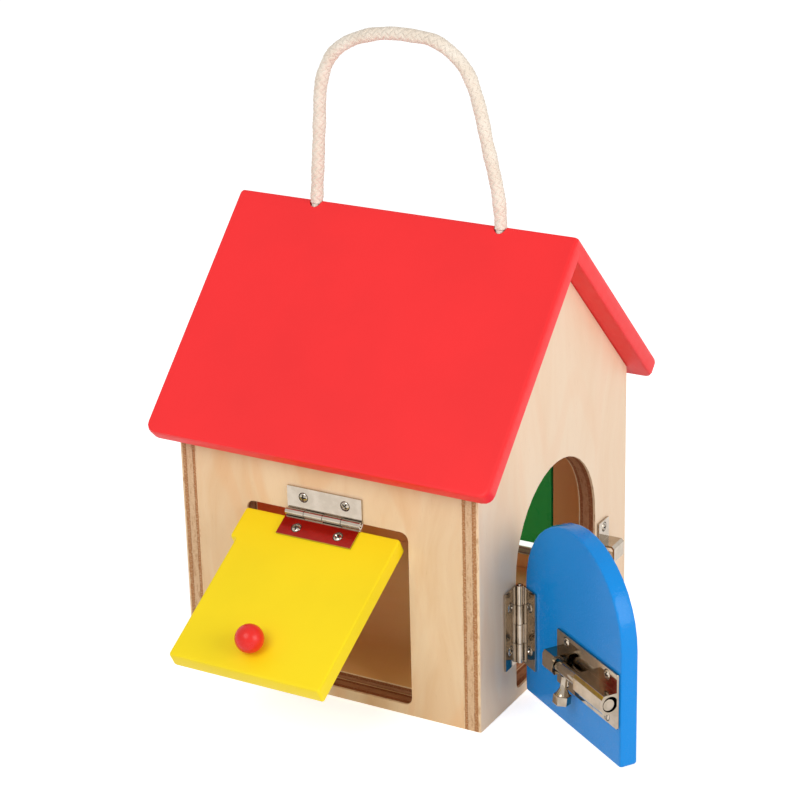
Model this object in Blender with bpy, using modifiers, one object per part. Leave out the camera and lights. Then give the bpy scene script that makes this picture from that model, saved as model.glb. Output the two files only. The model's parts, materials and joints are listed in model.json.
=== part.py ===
"""An activity house: a plywood body with a red gable roof, a rope handle, and four doors with real
hardware. Metres, +Z up. X runs along the ridge, the front wall faces -Y, and the origin is the centre of
the underside. The doors stand as they are shown: the yellow flap and the blue door open, the others shut."""
import math

import bmesh
import bpy
from mathutils import Matrix, Vector

# Clearances, shared by every piece

GAP = 0.0003             # between two pieces that touch or turn in each other
OVERRUN = 0.003          # how far a cutter runs past the face that it cuts
WELD = 0.000001          # doubles closer than this are one point

# The plywood body

PLY = 0.009              # every wall, roof panel, floor and door
BODY_WIDTH = 0.160       # along X, over the outsides of the gables
BODY_DEPTH = 0.160       # along Y, over the outsides of the long walls
EAVE_HEIGHT = 0.1265     # underside of the roof at the outer face of a long wall
PITCH = math.radians(45)
GABLE_OVERHANG = 0.011   # roof past a gable
EAVE_OVERHANG = 0.007    # underside of the roof past a long wall
EAVE_CORNER = 0.005      # rounding of a roof panel's lower corners
RIDGE_CORNER = 0.0025    # rounding of its upper corners
ROOF_EASE = 0.0018       # rounding of a roof panel's long edges
WALL_EASE = 0.0009       # rounding of a wall's outer edges

# The openings, measured from the underside and from each wall's middle

OPENING_HALF = 0.0435    # half the width of all four
SILL_HEIGHT = 0.0052     # front, left and arched openings
BACK_SILL_HEIGHT = 0.0165
HEAD_BAND = 0.0325       # wall over the square openings, up to the eave
SPRING_HEIGHT = 0.0622   # where the arch starts
OPENING_CORNER = 0.004
ARCH_CORNER = 0.003      # lower corners of the arched opening

# The doors

DOOR_GAP = 0.001         # round a door in its opening
DOOR_CORNER = 0.0015
DOOR_EASE = 0.0014       # rounding of a door's edges
JAMB_TO_AXIS = 0.0005    # a door hinge's axis outside the edge of the opening
FLAP_TOP_GAP = 0.0011    # flap's top edge under its hinge axis
FLAP_SILL_GAP = 0.0014   # flap's bottom edge over the sill when shut
FLAP_RIGHT_GAP = 0.0028
FLAP_LEFT_GAP = 0.0045
FLAP_EAR_GAP = 0.001     # at the wider ear in the flap's upper left corner
FLAP_EAR_LENGTH = 0.018
FLAP_EAR_CORNER = 0.0015
GREEN_SILL_GAP = 0.007   # the green door ends well over its sill
FLAP_OPEN = math.radians(60.6)
BLUE_OPEN = math.radians(123.9)
BLUE_HINGE_HEIGHT = 0.0409

# The four butt hinges, all alike

HINGE_LENGTH = 0.040
HINGE_WIDTH = 0.025      # over both leaves, laid open
LEAF_THICK = 0.0008
KNUCKLE_RADIUS = 0.0018
KNUCKLES = 4
ROLL_SWEEP = math.radians(285)   # how far a leaf is rolled round the pin
PIN_END = 0.0006         # each end of the pin past the knuckles
PIN_END_SHARES = ((0, 1), (0.7, 0.8), (1, 0.3))  # of its radius and its end
HINGE_SCREW_REACH = 0.0077       # screws from the axis
HINGE_SCREW_SPREAD = 0.0112      # screws from the hinge's middle

# Screws

SCREW_HEAD_RADIUS = 0.0023
SCREW_SHANK_RADIUS = 0.0012
SCREW_DEPTH = 0.0068     # below the wood's face
SCREW_TIP = 0.0018
SCREW_DOME = 0.0006      # raised head over the leaf
ROUND_HEAD_RADIUS = 0.003
ROUND_HEAD_HEIGHT = 0.0018
DOME_SHARES = ((0, 1), (0.6, 0.7), (1, 0))       # of a raised head's radius and rise
ROUND_HEAD_SHARES = ((0, 1), (0.55, 0.85), (0.9, 0.4), (1, 0))

# The knob of the flap

BALL_RADIUS = 0.0067
BALL_FOOT_RADIUS = 0.003
BALL_CENTRE_HEIGHT = 0.007       # over the flap's face
BALL_FROM_EDGE = 0.0139          # from the flap's bottom edge
KNOB_SCREW_GRIP = 0.0065         # the screw's length inside the ball

# The barrel bolt on the blue door

BOLT_LENGTH = 0.052
BOLT_WIDTH = 0.027
BOLT_THICK = 0.001
BOLT_END_INSET = 0.0013  # plate's end inside the door's free edge
BOLT_HEIGHT = 0.0394     # rod's axis over the underside of the house
BOLT_SCREW_REACH = 0.0176
BOLT_SCREW_SPREAD = 0.0103
ROD_RADIUS = 0.0029
ROD_EASE = 0.0004
ROD_LIFT = 0.0008        # the rod rides high in its bore, so this is added under it
BORE_PLAY = 0.0009       # bore's radius over the rod's
BARREL_WALL = 0.0009     # beside the bore
BARREL_CROWN = 0.0006    # over the bore
BARREL_CHAMFER_WIDTH = 0.0018
BARREL_CHAMFER_RISE = 0.0011
BARREL_ROUNDING = 0.0005
REAR_LOOP_LENGTH = 0.0088
WINDOW_LENGTH = 0.0186   # between the rear loop and the front barrel, where the knob travels
KNOB_FROM_LOOP = 0.0055
STEM_RADIUS = 0.0016
KNOB_RADIUS = 0.0042     # over the corners of its six sides
KNOB_NEAR = 0.0122       # head's inner end from the rod's axis
KNOB_FAR = 0.0168
SHOULDER_RADIUS = 0.0033
SHOULDER_LENGTH = 0.0034         # of the cone between stem and head
KNOB_EASE = 0.0003
KNOB_TILT = math.radians(7)      # the knob leans out, clear of the plate

# The keeper on the right gable

KEEPER_INSET = 0.002     # from the edge of the opening
KEEPER_WIDTH = 0.0115
KEEPER_LENGTH = 0.031
KEEPER_THICK = 0.001
KEEPER_LOOP_HALF = 0.0048
KEEPER_LOOP_RISE = 0.0096        # over the wood
KEEPER_CHAMFER = 0.0013
INNER_CHAMFER_SHARE = 0.6
KEEPER_SCREW_SPREAD = 0.012

# The swing hook of the green door and the turn button of the red door

HOOK_PIVOT_SHARE = 0.6           # pivot's place from the opening to the gable
HOOK_CATCH_INSET = 0.0065        # from the door's free edge
HOOK_THICK = 0.0012
HOOK_EYE_RADIUS = 0.0042
HOOK_BAR_HALF = 0.0022
HOOK_PLAY = 0.0003       # hook's lift over the wood, and under the screw heads
HOOK_NOTCH_PLAY = 0.0007 # round the catch screw
BUTTON_INSET = 0.0105
BUTTON_LENGTH = 0.030
BUTTON_WIDTH = 0.009
BUTTON_THICK = 0.003
BUTTON_EASE = 0.0007

# The rope handle

ROPE_RADIUS = 0.003
ROPE_KNOT_RADIUS = 0.0065
ROPE_TAIL = 0.006        # rope left under the knot
ROPE_HOLES_X = (-0.0479, 0.0514)
ROPE_MOUTH_DEPTH = 0.0016        # where the free stretch starts, under the top of the ridge
ROPE_ROUTE = (
    (-0.0479, 0.2176), (-0.0463, 0.2382), (-0.0447, 0.2591), (-0.0437, 0.2728), (-0.0409, 0.2833),
    (-0.0356, 0.2919), (-0.0270, 0.2981), (-0.0155, 0.3022), (-0.0043, 0.3039), (0.0067, 0.3038),
    (0.0177, 0.3026), (0.0271, 0.2977), (0.0342, 0.2906), (0.0384, 0.2819), (0.0418, 0.2705),
    (0.0446, 0.2575), (0.0473, 0.2466), (0.0501, 0.2335), (0.0511, 0.2235), (0.0514, 0.2176),
)
ROPE_POINTS = 24

# Facets

CORNER_STEPS = 4
ARCH_STEPS = 20
ROUND_STEPS = 12
BALL_STEPS = 20
EASE_STEPS = 2

# Sizes that follow from the ones above

HALF_WIDTH = BODY_WIDTH / 2
HALF_DEPTH = BODY_DEPTH / 2
HEAD_HEIGHT = EAVE_HEIGHT - HEAD_BAND            # top of the square openings
WALL_LIFT = GAP / math.cos(PITCH)                # vertical gap under the sloping roof
APEX_HEIGHT = EAVE_HEIGHT + HALF_DEPTH * math.tan(PITCH)
RIDGE_TOP = APEX_HEIGHT + PLY / math.cos(PITCH)
AXIS_HEIGHT = GAP + KNUCKLE_RADIUS               # a hinge's axis over the wood
FACE = -AXIS_HEIGHT                              # the wood's face, seen from the hinge's axis
LEAF_TOP = FACE + GAP + LEAF_THICK
PIN_RADIUS = KNUCKLE_RADIUS - LEAF_THICK - GAP
NEAR_JAMB = JAMB_TO_AXIS                         # the opening's edges, seen from the axis of a door
FAR_JAMB = JAMB_TO_AXIS + OPENING_HALF * 2
DOOR_NEAR = NEAR_JAMB + DOOR_GAP
DOOR_FAR = FAR_JAMB - DOOR_GAP
GREEN_MIDDLE = (HEAD_HEIGHT + BACK_SILL_HEIGHT + GREEN_SILL_GAP - DOOR_GAP) / 2
RED_MIDDLE = (HEAD_HEIGHT + SILL_HEIGHT) / 2
FLAP_LOW = HEAD_HEIGHT - SILL_HEIGHT - FLAP_SILL_GAP
BALL_FROM_HINGE = FLAP_LOW - BALL_FROM_EDGE

BOLT_TOP = FACE + GAP + BOLT_THICK
ROD_AXIS = BOLT_TOP + GAP + ROD_LIFT + ROD_RADIUS
BOLT_FAR = DOOR_FAR - BOLT_END_INSET
BOLT_NEAR = BOLT_FAR - BOLT_LENGTH
BOLT_ALONG = BOLT_HEIGHT - BLUE_HINGE_HEIGHT
WINDOW_NEAR = BOLT_NEAR + REAR_LOOP_LENGTH
WINDOW_FAR = WINDOW_NEAR + WINDOW_LENGTH
HOOK_BASE = FACE + GAP + HOOK_PLAY
HOOK_PIVOT = FAR_JAMB + (HALF_WIDTH - PLY - OPENING_HALF) * HOOK_PIVOT_SHARE
HOOK_CATCH = DOOR_FAR - HOOK_CATCH_INSET
HOOK_REACH = HOOK_PIVOT - HOOK_CATCH

# A clean scene, with one collection for the pieces and one for cutters and guides

for old in list(bpy.data.objects):
    bpy.data.objects.remove(old, do_unlink=True)

PIECES = bpy.data.collections.new("activity_house")
HELPERS = bpy.data.collections.new("cutters_and_guides")
bpy.context.scene.collection.children.link(PIECES)
bpy.context.scene.collection.children.link(HELPERS)


# Materials

def material(name, colour, roughness, metallic=0.0):
    """A Principled material in the piece's own colour."""
    made = bpy.data.materials.new(name)
    made.use_nodes = True
    shader = made.node_tree.nodes["Principled BSDF"]
    shader.inputs["Base Color"].default_value = (*colour, 1.0)
    shader.inputs["Roughness"].default_value = roughness
    shader.inputs["Metallic"].default_value = metallic
    return made


BIRCH = ((0.76, 0.55, 0.34), 0.6)
ROOF_RED = ((0.90, 0.04, 0.04), 0.45)
FLAP_YELLOW = ((0.98, 0.73, 0.01), 0.45)
KNOB_RED = ((0.80, 0.02, 0.02), 0.25)
DOOR_BLUE = ((0.02, 0.22, 0.60), 0.3)
DOOR_GREEN = ((0.02, 0.20, 0.05), 0.4)
DOOR_RED = ((0.70, 0.03, 0.03), 0.4)
NICKEL = ((0.66, 0.62, 0.56), 0.25, 1.0)
COTTON = ((0.86, 0.78, 0.66), 0.9)


# Where things go

def guide(name, origin, across, along, parent=None):
    """An empty whose X runs across a face, whose Y runs along it, and whose Z points out of it."""
    columns = Matrix((across, along, Vector(across).cross(Vector(along)))).transposed()
    made = bpy.data.objects.new(name, None)
    HELPERS.objects.link(made)
    made.parent = parent
    made.matrix_basis = Matrix.Translation(origin) @ columns.to_4x4()
    return made


def turned_guide(name, parent, origin, rotation):
    """An empty on a joint's axis, turned from the guide that carries it."""
    made = bpy.data.objects.new(name, None)
    HELPERS.objects.link(made)
    made.parent = parent
    made.location = origin
    made.rotation_euler = rotation
    return made


LYING = Matrix.Identity(4)                       # an outline lies across and along
ACROSS_SECTION = Matrix.Rotation(math.radians(90), 4, "X")      # drawn across and out, runs along
ALONG_SECTION = Matrix(((0, 0, 1, 0), (1, 0, 0, 0), (0, 1, 0, 0), (0, 0, 0, 1)))    # runs across


# Outlines

def arc(centre, radius, start, sweep, steps):
    """Points on an arc, both ends included."""
    made = []
    for step in range(steps + 1):
        angle = start + sweep * step / steps
        made.append((centre[0] + radius * math.cos(angle), centre[1] + radius * math.sin(angle)))
    return made


def rounded(corners, steps=CORNER_STEPS):
    """A closed outline from corners given as (x, y, radius). No rounding takes over half a side."""
    made = []
    for index, (x, y, radius) in enumerate(corners):
        here = Vector((x, y))
        before = Vector(corners[index - 1][:2]) - here
        after = Vector(corners[(index + 1) % len(corners)][:2]) - here
        half = before.angle(after) / 2
        reach = min(radius / math.tan(half), before.length / 2, after.length / 2)
        if reach <= WELD:
            made.append((x, y))
            continue
        start = here + before.normalized() * reach
        middle = here + (before.normalized() + after.normalized()).normalized() * reach / math.cos(half)
        first = start - middle
        turn = first.angle_signed(here + after.normalized() * reach - middle)
        for step in range(steps + 1):
            spoke = first.copy()
            spoke.rotate(Matrix.Rotation(-turn * step / steps, 2))
            made.append(tuple(middle + spoke))
    return made


def box_outline(low_x, high_x, low_y, high_y, radius):
    """A rectangle with four equal corners."""
    return rounded([(low_x, low_y, radius), (high_x, low_y, radius), (high_x, high_y, radius),
                    (low_x, high_y, radius)])


def arched_outline(middle, half, low, spring, radius):
    """A door's shape with a half-round top."""
    foot = rounded([(middle - half, spring, 0), (middle - half, low, radius),
                    (middle + half, low, radius), (middle + half, spring, 0)])
    top = arc((middle, spring), half, 0, math.pi, ARCH_STEPS)
    return foot[1:-1] + top


# Solids

def extruded(name, outline, base, height, lie=LYING):
    """A flat outline made solid from base up to base plus height, as a mesh with welded caps."""
    curve = bpy.data.curves.new(name, "CURVE")
    curve.dimensions = "2D"
    curve.fill_mode = "BOTH"
    curve.extrude = height / 2
    spline = curve.splines.new("POLY")
    spline.points.add(len(outline) - 1)
    for point, (x, y) in zip(spline.points, outline):
        point.co = (x, y, 0, 1)
    spline.use_cyclic_u = True
    source = bpy.data.objects.new(name + "_outline", curve)
    HELPERS.objects.link(source)
    source.matrix_basis = lie @ Matrix.Translation((0, 0, base + height / 2))
    return solid_from_curve(name, source)


def solid_from_curve(name, source):
    """The curve's surface as a mesh object in the same place. The curve goes."""
    bpy.context.view_layer.update()
    evaluated = source.evaluated_get(bpy.context.evaluated_depsgraph_get())
    mesh = bpy.data.meshes.new_from_object(evaluated)
    mesh.name = name
    shape = bmesh.new()
    shape.from_mesh(mesh)
    bmesh.ops.remove_doubles(shape, verts=shape.verts, dist=WELD)
    bmesh.ops.dissolve_limit(shape, angle_limit=math.radians(1), verts=shape.verts, edges=shape.edges)
    bmesh.ops.recalc_face_normals(shape, faces=shape.faces)
    shape.to_mesh(mesh)
    shape.free()
    made = bpy.data.objects.new(name, mesh)
    made.matrix_basis = source.matrix_world
    bpy.data.objects.remove(source, do_unlink=True)
    return made


def ease(target, width, chosen=None, steps=EASE_STEPS):
    """Round the sharp edges of a solid, or only those whose middle is chosen, in its own mesh."""
    shape = bmesh.new()
    shape.from_mesh(target.data)
    picked = []
    for edge in shape.edges:
        middle = (edge.verts[0].co + edge.verts[1].co) / 2
        if edge.calc_face_angle(0) > math.radians(40) and (chosen is None or chosen(middle)):
            picked.append(edge)
    bmesh.ops.bevel(shape, geom=picked, offset=width, segments=steps, profile=0.5, affect="EDGES")
    shape.to_mesh(target.data)
    shape.free()


def sliced(target, point, normal):
    """Cut a solid by a plane in its own space, and close it. What lies along the normal goes."""
    shape = bmesh.new()
    shape.from_mesh(target.data)
    everything = shape.verts[:] + shape.edges[:] + shape.faces[:]
    cut = bmesh.ops.bisect_plane(shape, geom=everything, plane_co=point, plane_no=normal,
                                 clear_outer=True)
    rim = [item for item in cut["geom_cut"] if isinstance(item, bmesh.types.BMEdge)]
    bmesh.ops.contextual_create(shape, geom=rim)
    bmesh.ops.recalc_face_normals(shape, faces=shape.faces)
    shape.to_mesh(target.data)
    shape.free()


def turned(name, profile, steps=ROUND_STEPS):
    """A turned solid from (radius, height) points that run down its outside, round its own Z axis."""
    mesh = bpy.data.meshes.new(name)
    points = [(radius, 0, height) for radius, height in profile]
    mesh.from_pydata(points, [(index, index + 1) for index in range(len(points) - 1)], [])
    made = bpy.data.objects.new(name, mesh)
    turn = made.modifiers.new("turn", "SCREW")
    turn.axis = "Z"
    turn.steps = steps
    turn.render_steps = steps
    turn.use_merge_vertices = True
    turn.merge_threshold = WELD
    return made


def placed(made, parent, finish, flat=False):
    """Put a finished piece on its guide, give it its material and show it."""
    PIECES.objects.link(made)
    made.parent = parent
    made.data.materials.append(material(made.name, *finish))
    if not flat:
        made.data.shade_smooth()
        made.data.set_sharp_from_angle(angle=math.radians(35))
    return made


def hidden(made, parent):
    """Keep a shape as a cutter or as a lump to be joined on."""
    HELPERS.objects.link(made)
    made.parent = parent
    made.display_type = "WIRE"
    made.hide_render = True
    return made


def combine(target, other, operation="DIFFERENCE"):
    """Cut a piece by another shape, or join the shape on."""
    step = target.modifiers.new(other.name, "BOOLEAN")
    step.operation = operation
    step.solver = "EXACT"
    step.object = other


def drill(target, parent, spots, low, high, low_radius, high_radius=None):
    """Round holes at (across, along) spots of a guide, from one height to another."""
    shape = bmesh.new()
    for across, along in spots:
        where = Matrix.Translation((across, along, (low + high) / 2))
        bmesh.ops.create_cone(shape, cap_ends=True, segments=ROUND_STEPS, radius1=low_radius,
                              radius2=high_radius or low_radius, depth=high - low, matrix=where)
    mesh = bpy.data.meshes.new(target.name + "_holes")
    shape.to_mesh(mesh)
    shape.free()
    combine(target, hidden(bpy.data.objects.new(mesh.name, mesh), parent))


# Screws

def crowned(radius, seat, rise, shares):
    """A turned head's points, from its crown to its rim. A negative rise points down, rim first."""
    points = [(radius * across, seat + rise * up) for across, up in shares]
    return points if rise > 0 else points[::-1]


def sunk_screw(name, parent, spot, top):
    """A raised countersunk wood screw whose head sits in a plate with its upper face at top."""
    cone = top - (SCREW_HEAD_RADIUS - SCREW_SHANK_RADIUS)
    end = FACE - SCREW_DEPTH
    head = crowned(SCREW_HEAD_RADIUS, top, SCREW_DOME, DOME_SHARES)
    made = turned(name, head + [(SCREW_SHANK_RADIUS, cone), (SCREW_SHANK_RADIUS, end + SCREW_TIP), (0, end)])
    made.location = (*spot, 0)
    return placed(made, parent, NICKEL)


def round_screw(name, parent, spot, seat):
    """A round-head wood screw whose head starts at the height of its seat."""
    end = FACE - SCREW_DEPTH
    head = crowned(ROUND_HEAD_RADIUS, seat, ROUND_HEAD_HEIGHT, ROUND_HEAD_SHARES)
    made = turned(name, head + [(SCREW_SHANK_RADIUS, seat), (SCREW_SHANK_RADIUS, end + SCREW_TIP), (0, end)])
    made.location = (*spot, 0)
    return placed(made, parent, NICKEL)


def plate_holes(plate, parent, spots, thick):
    """Countersinks through a plate that lies on the wood."""
    low = FACE
    high = FACE + GAP * 2 + thick
    mouth = SCREW_HEAD_RADIUS + GAP * 2
    drill(plate, parent, spots, low, high, mouth - (high - low), mouth)


def pilot_holes(panel, parent, spots):
    """Blind holes in the wood for screws, from its face down."""
    drill(panel, parent, spots, FACE - SCREW_DEPTH - GAP, FACE + OVERRUN, SCREW_SHANK_RADIUS + GAP)


# Hinges

def leaf(name, parent, side):
    """One leaf: a plate on the wood, rolled round the pin, on one side of the axis."""
    bore = KNUCKLE_RADIUS - LEAF_THICK
    far = HINGE_WIDTH / 2
    outer = arc((0, 0), KNUCKLE_RADIUS, -math.pi / 2, -ROLL_SWEEP, ROUND_STEPS)
    inner = arc((0, 0), bore, -math.pi / 2, -ROLL_SWEEP, ROUND_STEPS)
    outline = [(far, -KNUCKLE_RADIUS)] + outer + inner[::-1] + [(far, -bore)]
    outline = [(side * x, y) for x, y in outline]
    made = extruded(name, outline, -HINGE_LENGTH / 2, HINGE_LENGTH, ACROSS_SECTION)
    return placed(made, parent, NICKEL)


def knuckle_gaps(target, parent, first):
    """Clear every second knuckle, so that the other leaf's knuckles turn there."""
    pitch = HINGE_LENGTH / KNUCKLES
    shape = bmesh.new()
    for index in range(first, KNUCKLES, 2):
        start = -HINGE_LENGTH / 2 + pitch * index - (GAP / 2 if index else OVERRUN)
        end = -HINGE_LENGTH / 2 + pitch * (index + 1) + (GAP / 2 if index < KNUCKLES - 1 else OVERRUN)
        where = Matrix.Translation((0, (start + end) / 2, 0)) @ Matrix.Rotation(math.pi / 2, 4, "X")
        bmesh.ops.create_cone(shape, cap_ends=True, segments=ROUND_STEPS * 2, depth=end - start,
                              radius1=KNUCKLE_RADIUS + GAP, radius2=KNUCKLE_RADIUS + GAP, matrix=where)
    mesh = bpy.data.meshes.new(target.name + "_knuckle_gaps")
    shape.to_mesh(mesh)
    shape.free()
    combine(target, hidden(bpy.data.objects.new(mesh.name, mesh), parent))


def butt_hinge(colour, fixed, swing, panel, door):
    """A hinge between a wall and a door: two leaves, a pin, four screws and their holes."""
    half = HINGE_LENGTH / 2
    wall_leaf = leaf(colour + "_hinge_wall_leaf", fixed, -1)
    door_leaf = leaf(colour + "_hinge_door_leaf", swing, 1)
    knuckle_gaps(wall_leaf, fixed, 0)
    knuckle_gaps(door_leaf, swing, 1)
    pin = turned(colour + "_hinge_pin", crowned(PIN_RADIUS, half, PIN_END, PIN_END_SHARES) +
                 crowned(PIN_RADIUS, -half, -PIN_END, PIN_END_SHARES))
    pin.rotation_euler = (-math.pi / 2, 0, 0)
    placed(pin, fixed, NICKEL)
    for place, parent, plate, wood, side in (("wall", fixed, wall_leaf, panel, -1),
                                             ("door", swing, door_leaf, door, 1)):
        spots = [(side * HINGE_SCREW_REACH, HINGE_SCREW_SPREAD * end) for end in (-1, 1)]
        plate_holes(plate, parent, spots, LEAF_THICK)
        pilot_holes(wood, parent, spots)
        for number, spot in enumerate(spots, 1):
            sunk_screw(f"{colour}_hinge_{place}_screw_{number}", parent, spot, LEAF_TOP)


# The walls

FRONT = guide("front_face", (0, -HALF_DEPTH, 0), (1, 0, 0), (0, 0, 1))
BACK = guide("back_face", (0, HALF_DEPTH, 0), (-1, 0, 0), (0, 0, 1))
LEFT = guide("left_face", (-HALF_WIDTH, 0, 0), (0, -1, 0), (0, 0, 1))
RIGHT = guide("right_face", (HALF_WIDTH, 0, 0), (0, 1, 0), (0, 0, 1))


def long_wall(name, face, opening):
    """A wall under an eave, between the gables, with its top planed to the roof's slope."""
    half = HALF_WIDTH - PLY - GAP
    tall = EAVE_HEIGHT + PLY * math.tan(PITCH) + OVERRUN
    made = extruded(name, box_outline(-half, half, 0, tall, 0), -PLY, PLY)
    slope = Vector((0, math.cos(PITCH), math.sin(PITCH)))
    sliced(made, made.matrix_basis.inverted() @ Vector((0, EAVE_HEIGHT - WALL_LIFT, 0)), slope)
    hole = extruded(name + "_opening", opening, -PLY - OVERRUN, PLY + OVERRUN * 2)
    combine(made, hidden(hole, face))
    return placed(made, face, BIRCH, flat=True)


def gable(name, face, opening):
    """A gable wall, as deep as the body, with eased upright edges."""
    low = EAVE_HEIGHT - WALL_LIFT
    outline = [(-HALF_DEPTH, 0), (HALF_DEPTH, 0), (HALF_DEPTH, low),
               (0, APEX_HEIGHT - WALL_LIFT), (-HALF_DEPTH, low)]
    made = extruded(name, outline, -PLY, PLY)
    ease(made, WALL_EASE, lambda middle: abs(middle.x) > HALF_DEPTH - WELD and 0 < middle.y < low and
         middle.z > 0)
    hole = extruded(name + "_opening", opening, -PLY - OVERRUN, PLY + OVERRUN * 2)
    combine(made, hidden(hole, face))
    return placed(made, face, BIRCH, flat=True)


square = box_outline(-OPENING_HALF, OPENING_HALF, SILL_HEIGHT, HEAD_HEIGHT, OPENING_CORNER)
back_square = box_outline(-OPENING_HALF, OPENING_HALF, BACK_SILL_HEIGHT, HEAD_HEIGHT, OPENING_CORNER)
arch = arched_outline(0, OPENING_HALF, SILL_HEIGHT, SPRING_HEIGHT, ARCH_CORNER)
front_wall = long_wall("front_wall", FRONT, square)
back_wall = long_wall("back_wall", BACK, back_square)
left_gable = gable("left_gable", LEFT, square)
right_gable = gable("right_gable", RIGHT, arch)

floor_half_x = HALF_WIDTH - PLY - GAP
floor_half_y = HALF_DEPTH - PLY - GAP
floor_outline = box_outline(-floor_half_x, floor_half_x, -floor_half_y, floor_half_y, 0)
placed(extruded("floor_panel", floor_outline, 0, PLY), None, BIRCH, flat=True)


# The roof

def roof_panel(name, side):
    """One slope: rounded corners, eased edges, mitred at the ridge, drilled for the rope.
    The edges are eased before the mitre is cut, so the two slopes meet in a rounded ridge."""
    slope = guide(name + "_slope", (0, 0, APEX_HEIGHT), (side, 0, 0),
                  (0, side * math.cos(PITCH), math.sin(PITCH)))
    half = HALF_WIDTH + GABLE_OVERHANG
    low = -(HALF_DEPTH + EAVE_OVERHANG) / math.cos(PITCH)
    high = PLY * math.tan(PITCH)
    outline = rounded([(-half, low, EAVE_CORNER), (half, low, EAVE_CORNER),
                       (half, high, RIDGE_CORNER), (-half, high, RIDGE_CORNER)])
    made = extruded(name, outline, 0, PLY)
    ease(made, ROOF_EASE)
    mitre = Vector((0, math.cos(PITCH), -math.sin(PITCH)))
    sliced(made, made.matrix_basis.inverted() @ (mitre * -GAP / 2), mitre)
    holes = bmesh.new()
    for x in ROPE_HOLES_X:
        bmesh.ops.create_cone(holes, cap_ends=True, segments=ROUND_STEPS * 2, depth=PLY * 4,
                              radius1=ROPE_RADIUS + GAP, radius2=ROPE_RADIUS + GAP,
                              matrix=Matrix.Translation((x, 0, APEX_HEIGHT)))
    mesh = bpy.data.meshes.new(name + "_rope_holes")
    holes.to_mesh(mesh)
    holes.free()
    combine(made, hidden(bpy.data.objects.new(mesh.name, mesh), None))
    return placed(made, slope, ROOF_RED)


roof_panel("front_roof_panel", 1)
roof_panel("back_roof_panel", -1)


# The rope handle

def smooth_route(route, count):
    """Points at even steps of a smooth curve through the route, in the plane of the ridge."""
    points = [Vector((x, 0, z)) for x, z in route]
    points = [points[0] * 2 - points[1]] + points + [points[-1] * 2 - points[-2]]
    dense = []
    for a, b, c, d in zip(points, points[1:], points[2:], points[3:]):
        for step in range(16):
            t = step / 16
            dense.append((b * 2 + (c - a) * t + (a * 2 - b * 5 + c * 4 - d) * t ** 2 +
                          (b * 3 - a - c * 3 + d) * t ** 3) / 2)
    dense.append(points[-2])
    walked = [0.0]
    for before, after in zip(dense, dense[1:]):
        walked.append(walked[-1] + (after - before).length)
    made = []
    place = 0
    for index in range(count):
        wanted = walked[-1] * index / (count - 1)
        while place < len(walked) - 2 and walked[place + 1] < wanted:
            place += 1
        part = (wanted - walked[place]) / (walked[place + 1] - walked[place])
        made.append(dense[place].lerp(dense[place + 1], part))
    return made


def handle_rope():
    """The free stretch of the rope, from one hole's mouth to the other's."""
    curve = bpy.data.curves.new("handle_rope", "CURVE")
    curve.dimensions = "3D"
    curve.bevel_depth = ROPE_RADIUS
    curve.bevel_resolution = 3
    curve.use_fill_caps = True
    route = smooth_route(ROPE_ROUTE, ROPE_POINTS)
    spline = curve.splines.new("POLY")
    spline.points.add(len(route) - 1)
    for point, where in zip(spline.points, route):
        point.co = (*where, 1)
    source = bpy.data.objects.new("handle_rope_line", curve)
    HELPERS.objects.link(source)
    return placed(solid_from_curve("handle_rope", source), None, COTTON)


def rope_end(name, x):
    """The rope inside its hole, the stopper knot that the ridge rests on, and the tail."""
    top = RIDGE_TOP - ROPE_MOUTH_DEPTH - GAP
    knot = APEX_HEIGHT - (ROPE_KNOT_RADIUS + GAP) / math.cos(PITCH)
    meet = math.asin(ROPE_RADIUS / ROPE_KNOT_RADIUS)
    belly = arc((0, knot), ROPE_KNOT_RADIUS, math.pi / 2 - meet, 2 * meet - math.pi, 10)
    profile = [(0, top), (ROPE_RADIUS, top)] + belly
    end = knot - ROPE_KNOT_RADIUS - ROPE_TAIL
    made = turned(name, profile + [(ROPE_RADIUS, end), (0, end)], BALL_STEPS)
    made.location = (x, 0, 0)
    return placed(made, None, COTTON)


handle_rope()
rope_end("left_rope_end", ROPE_HOLES_X[0])
rope_end("right_rope_end", ROPE_HOLES_X[1])


# The yellow flap, hinged at its top

YELLOW_FIXED = guide("yellow_hinge_axis", (0, -HALF_DEPTH - AXIS_HEIGHT, HEAD_HEIGHT), (0, 0, -1), (1, 0, 0))
YELLOW_SWING = turned_guide("yellow_flap_turn", YELLOW_FIXED, (0, 0, 0), (0, -FLAP_OPEN, 0))


def yellow_flap():
    """The flap: an ear at its upper left, the rest cut narrower."""
    low = FLAP_LOW
    right = OPENING_HALF - FLAP_RIGHT_GAP
    left = -OPENING_HALF + FLAP_LEFT_GAP
    ear = -OPENING_HALF + FLAP_EAR_GAP
    step = FLAP_TOP_GAP + FLAP_EAR_LENGTH
    outline = rounded([(FLAP_TOP_GAP, ear, DOOR_CORNER), (step, ear, FLAP_EAR_CORNER),
                       (step, left, FLAP_EAR_CORNER), (low, left, DOOR_CORNER),
                       (low, right, DOOR_CORNER), (FLAP_TOP_GAP, right, DOOR_CORNER)])
    made = extruded("yellow_flap", outline, FACE - PLY, PLY)
    ease(made, DOOR_EASE)
    drill(made, YELLOW_SWING, [(BALL_FROM_HINGE, 0)], FACE - PLY - OVERRUN, FACE + OVERRUN,
          SCREW_SHANK_RADIUS + GAP)
    return placed(made, YELLOW_SWING, FLAP_YELLOW)


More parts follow.
